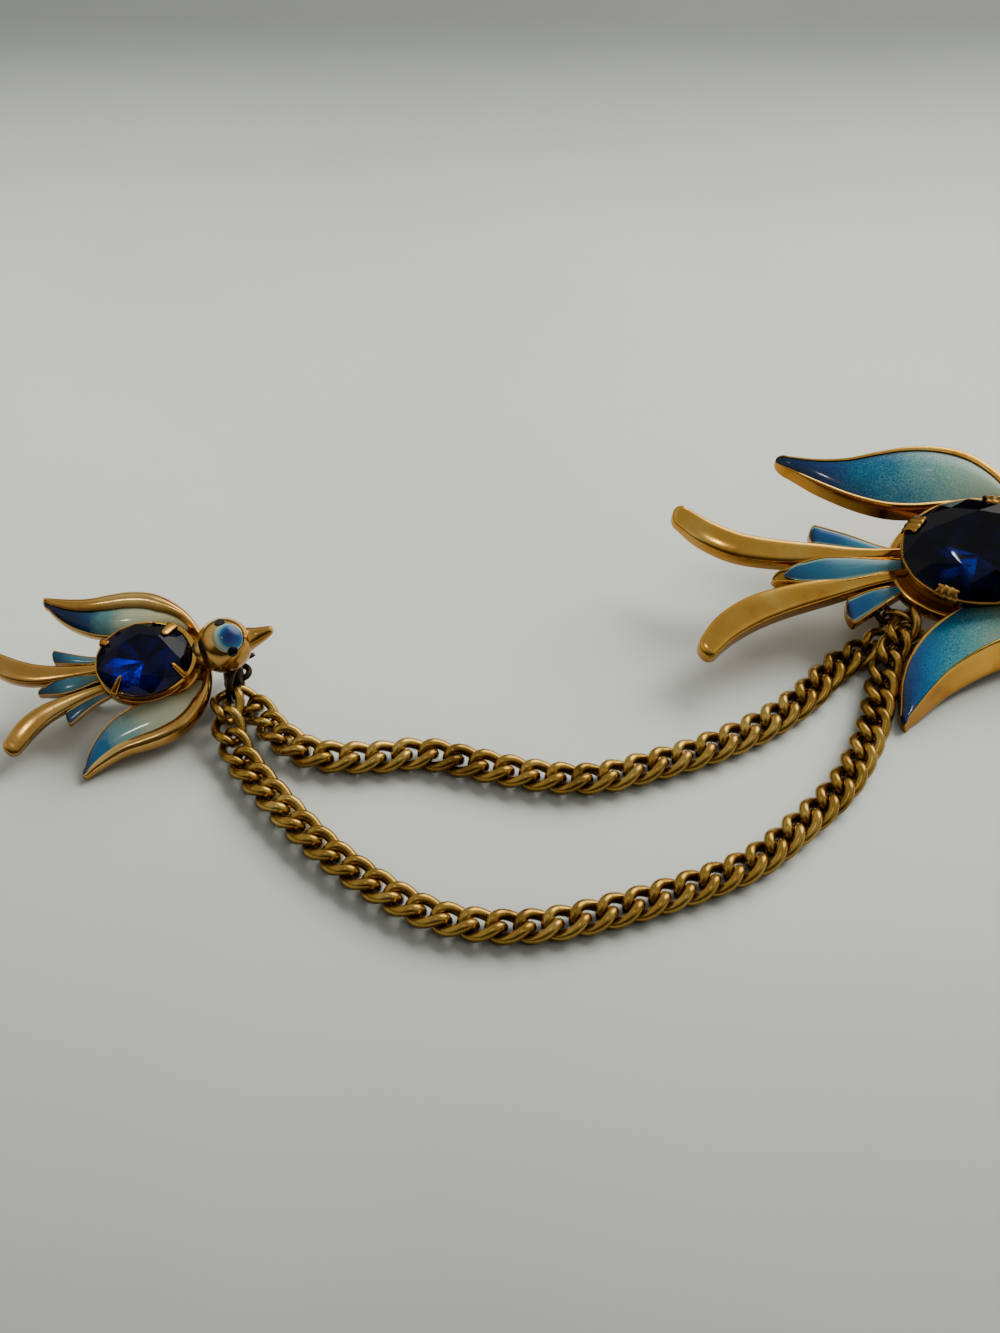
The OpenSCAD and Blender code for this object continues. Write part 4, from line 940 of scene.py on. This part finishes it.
def large_bird():
    metal = Shape()
    seat(metal, *LARGE_SEAT)
    head(metal, *LARGE_HEAD, LARGE_CORE)
    plume(metal, LARGE_FAR_PLUME, LARGE_FAR_PLUME_TIP, False, FAR_PROFILE)
    plume(metal, LARGE_NEAR_PLUME, LARGE_NEAR_PLUME_TIP, True)
    wings = (("left", LARGE_FAR_WING, LARGE_FAR_TIP, LARGE_FAR_EDGE, LARGE_FAR_BAND,
              LARGE_FAR_FEATHER, False, FAR_ENAMEL, 0.75),
             ("right", LARGE_NEAR_WING, LARGE_NEAR_TIP, LARGE_EDGE, LARGE_NEAR_BAND,
              LARGE_NEAR_FEATHER, True, NEAR_ENAMEL, 1.3))
    for side, rows, tip, edge, band, feather, mirror, colour, blunt in wings:
        wing_metal(metal, rows, tip, edge, band, mirror)
        end = round_end(feather, 0.6)
        tray(metal, feather, LARGE_RIM, mirror, end, blunt)
        glaze = Shape()
        wing_glaze(glaze, rows, tip, band, mirror)
        glaze.piece(f"large_{side}_wing_glaze", [colour], [f"large_{side}_wing_enamel"],
                    LARGE_STAND)
        glaze = Shape()
        filled(glaze, feather, LARGE_RIM, mirror, end, blunt)
        glaze.piece(f"large_{side}_feather_glaze", [TAIL_ENAMEL],
                    [f"large_{side}_feather_enamel"], LARGE_STAND)
    at_x, at_y = LARGE_CORE[0], LARGE_CORE[1] + 0.4
    leaf = [[x + at_x, at_y - w, x + at_x, at_y + w, h] for x, w, h in LARGE_LEAF]
    tray(metal, leaf, LARGE_RIM, False, (LARGE_LEAF_TIP[0] + at_x, at_y, LARGE_LEAF_TIP[2]))
    metal.piece("large_bird_metal", [GOLD], ["large_casting"], LARGE_STAND)
    glaze = Shape()
    filled(glaze, leaf[:5], LARGE_RIM, False, (LARGE_LEAF_TIP[0] + 1.0 + at_x, at_y, 1.6), 1.7)
    glaze.piece("large_leaf_glaze", [LEAF_ENAMEL], ["large_leaf_enamel"],
                LARGE_STAND)
    x, z, r = LARGE_HEAD[:3]
    face("large", np.array([x, 0, z]) + LARGE_CORE, r, LARGE_EYE, LARGE_STAND)
    stone = Shape()
    gem(stone, *LARGE_GEM, LARGE_CORE)
    stone.piece("large_gem", LARGE_GLASS, ["large_stone"], LARGE_STAND, smooth=False)
    setting = Shape()
    cup(setting, *LARGE_GEM[:2], *LARGE_CUP, LARGE_CORE)
    wide, teeth, pointed = LARGE_CLAW_END
    for side, reach, angles in LARGE_CLAWS:
        for angle in angles:
            claw(setting, LARGE_GEM, angle, side, *LARGE_CLAW, wide, reach, teeth, pointed,
                 LARGE_CORE)
    setting.piece("large_claws", [CLAW_GOLD], ["large_setting"], LARGE_STAND)


def rings():
    """Jump rings, the small one in dark metal as painted shade under the small head, and dark metal
    for the pins, which show as the frame's own solids.
    """
    # The small ring takes the dark metal as painted shade under the small head
    for name, ring, colour in (("small", SMALL_RING, DARK_METAL_AND_SHADE), ("large", LARGE_RING, OLD_GOLD)):
        shape = Shape()
        torus(shape, ring, RING_WIRE)
        shape.piece(f"{name}_jump_ring", [colour], [f"{name}_chain_ring"], sharp=80)
        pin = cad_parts[f"{name}_pin"]
        pin.data.materials.clear()
        pin.data.materials.append(DARK_METAL_AND_SHADE)


def post():
    """Short dark post under the small head, widened to stand partly for painted shade there,
    and the tip of the pin's stem beside it.
    """
    shape = Shape()
    run = POST_FOOT - POST_TOP
    along = unit(run)
    side = unit(np.cross(along, [0, 1, 0]))
    up = np.cross(side, along)
    # The post's width and its dark metal stand partly for painted shade under the small head
    body = [[POST_TOP + run * t + r * (math.cos(q) * side + math.sin(q) * up) for q in turns(32)]
            for t, r in POST_ROWS]
    shape.add(*loft(body, POST_TOP, POST_FOOT))
    needle = [[(x, y + r * math.cos(q), z + r * math.sin(q)) for q in turns(16)]
              for x, y, z, r in NEEDLE_ROWS]
    shape.add(*loft(needle, *NEEDLE_ENDS))
    shape.piece("small_pin_post_and_shade", [DARK_METAL_AND_SHADE], [])


def table_top():
    """Pale table, with painted shade that darkens it towards its far and near ends."""
    m, tree, shader = material("table_top", Roughness=0.62, Specular_IOR_Level=0.25)
    tone = ramp(tree, noise(tree, 9, 4, 0.55),
                [(0.3, rgb(207, 211, 202)), (0.7, rgb(217, 221, 211))])
    place = parts(tree, tree.nodes.new("ShaderNodeTexCoord").outputs["Object"])
    far = math_node(tree, "MULTIPLY", math_node(tree, "ADD", place[1], 0.08), 4.0, True)
    # Painted shade: darker towards the table's far and near ends, as the light falls off
    painted_falloff = ramp(tree, far, [
        (0.0, (0.49, 0.5, 0.51, 1)), (0.17, (0.72, 0.72, 0.73, 1)), (0.33, grey(0.965)),
        (0.42, grey(1)), (0.56, grey(1)), (0.68, (0.91, 0.92, 0.91, 1)),
        (0.8, (0.635, 0.645, 0.65, 1)), (0.9, (0.32, 0.33, 0.335, 1)),
        (0.93, (0.28, 0.285, 0.29, 1))], "LINEAR")
    tree.links.new(mix(tree, 1.0, tone, painted_falloff, "MULTIPLY"), shader.inputs["Base Color"])
    bump(tree, shader, noise(tree, 700, 4, 0.6), 0.05, 0.0001)
    mesh = bpy.data.meshes.new("table_top")
    half = 1.5
    mesh.from_pydata([(-half, -half, 0), (half, -half, 0), (half, half, 0), (-half, half, 0)], [],
                     [(0, 1, 2, 3)])
    mesh.materials.append(m)
    obj = bpy.data.objects.new("table_top", mesh)
    bpy.context.scene.collection.objects.link(obj)


def camera():
    """The photo's view."""
    data = bpy.data.cameras.new("camera")
    data.sensor_width = 36
    data.lens = 18 / math.tan(math.radians(LONG_SIDE / 2))
    data.clip_start, data.clip_end = 0.01, 10
    cam = bpy.data.objects.new("camera", data)
    bpy.context.scene.collection.objects.link(cam)
    target = Vector(CENTRING * MM)
    e = math.radians(DOWN)
    cam.location = target + Vector((0, -math.cos(e), math.sin(e))) * AWAY
    cam.rotation_euler = (target - cam.location).to_track_quat("-Z", "Y").to_euler()
    bpy.context.scene.camera = cam


def area(name, at, look, size, power, colour):
    data = bpy.data.lights.new(name, "AREA")
    data.shape = "RECTANGLE"
    data.size, data.size_y = size
    data.energy = power
    data.color = colour
    obj = bpy.data.objects.new(name, data)
    bpy.context.scene.collection.objects.link(obj)
    obj.location = at
    obj.rotation_euler = (Vector(look) - Vector(at)).to_track_quat("-Z", "Y").to_euler()
    return obj


def lights():
    """Soft daylight from the far right, a small lamp above, and a spark in the large stone."""
    area("window", *WINDOW).visible_glossy = False
    area("lamp", *LAMP)
    area("spark", *SPARK)
    world = bpy.data.worlds.new("room")
    bpy.context.scene.world = world
    world.use_nodes = True
    tree = world.node_tree
    back = tree.nodes["Background"]
    back.inputs["Strength"].default_value = ROOM_LIGHT
    way = tree.nodes.new("ShaderNodeTexCoord").outputs["Generated"]
    _, y, z = parts(tree, way)
    towards = tree.nodes.new("ShaderNodeVectorMath")
    towards.operation = "DOT_PRODUCT"
    tree.links.new(way, towards.inputs[0])
    towards.inputs[1].default_value = WINDOW_WAY
    glow = ramp(tree, towards.outputs["Value"], [(0.88, grey(0)), (0.99, grey(1))])
    shade = ramp(tree, z, [
        (0.0, rgb(40, 34, 28)), (0.14, rgb(74, 66, 56)), (0.34, rgb(176, 174, 168)),
        (0.64, rgb(190, 191, 189)), (0.86, rgb(162, 163, 162)), (1.0, rgb(156, 157, 156))],
        "LINEAR")
    near_side = ramp(tree, math_node(tree, "MULTIPLY", y, -1.0),
                     [(0.45, grey(0)), (0.78, grey(0.92))])
    sky = mix(tree, near_side, shade, rgb(46, 34, 24))
    tree.links.new(mix(tree, glow, sky, (4.0, 3.9, 3.75, 1)), back.inputs["Color"])


camera()
small_bird()
large_bird()
rings()
post()
chain("upper_chain_links", [ring_point(SMALL_RING, SMALL_HOLDS[0]), *UPPER_ROUTE,
                            ring_point(LARGE_RING, LARGE_HOLDS[0])], UPPER_ROLL, "upper_chain")
chain("lower_chain_links", [ring_point(SMALL_RING, SMALL_HOLDS[1]), *LOWER_ROUTE,
                            ring_point(LARGE_RING, LARGE_HOLDS[1])], LOWER_ROLL, "lower_chain")
table_top()
lights()
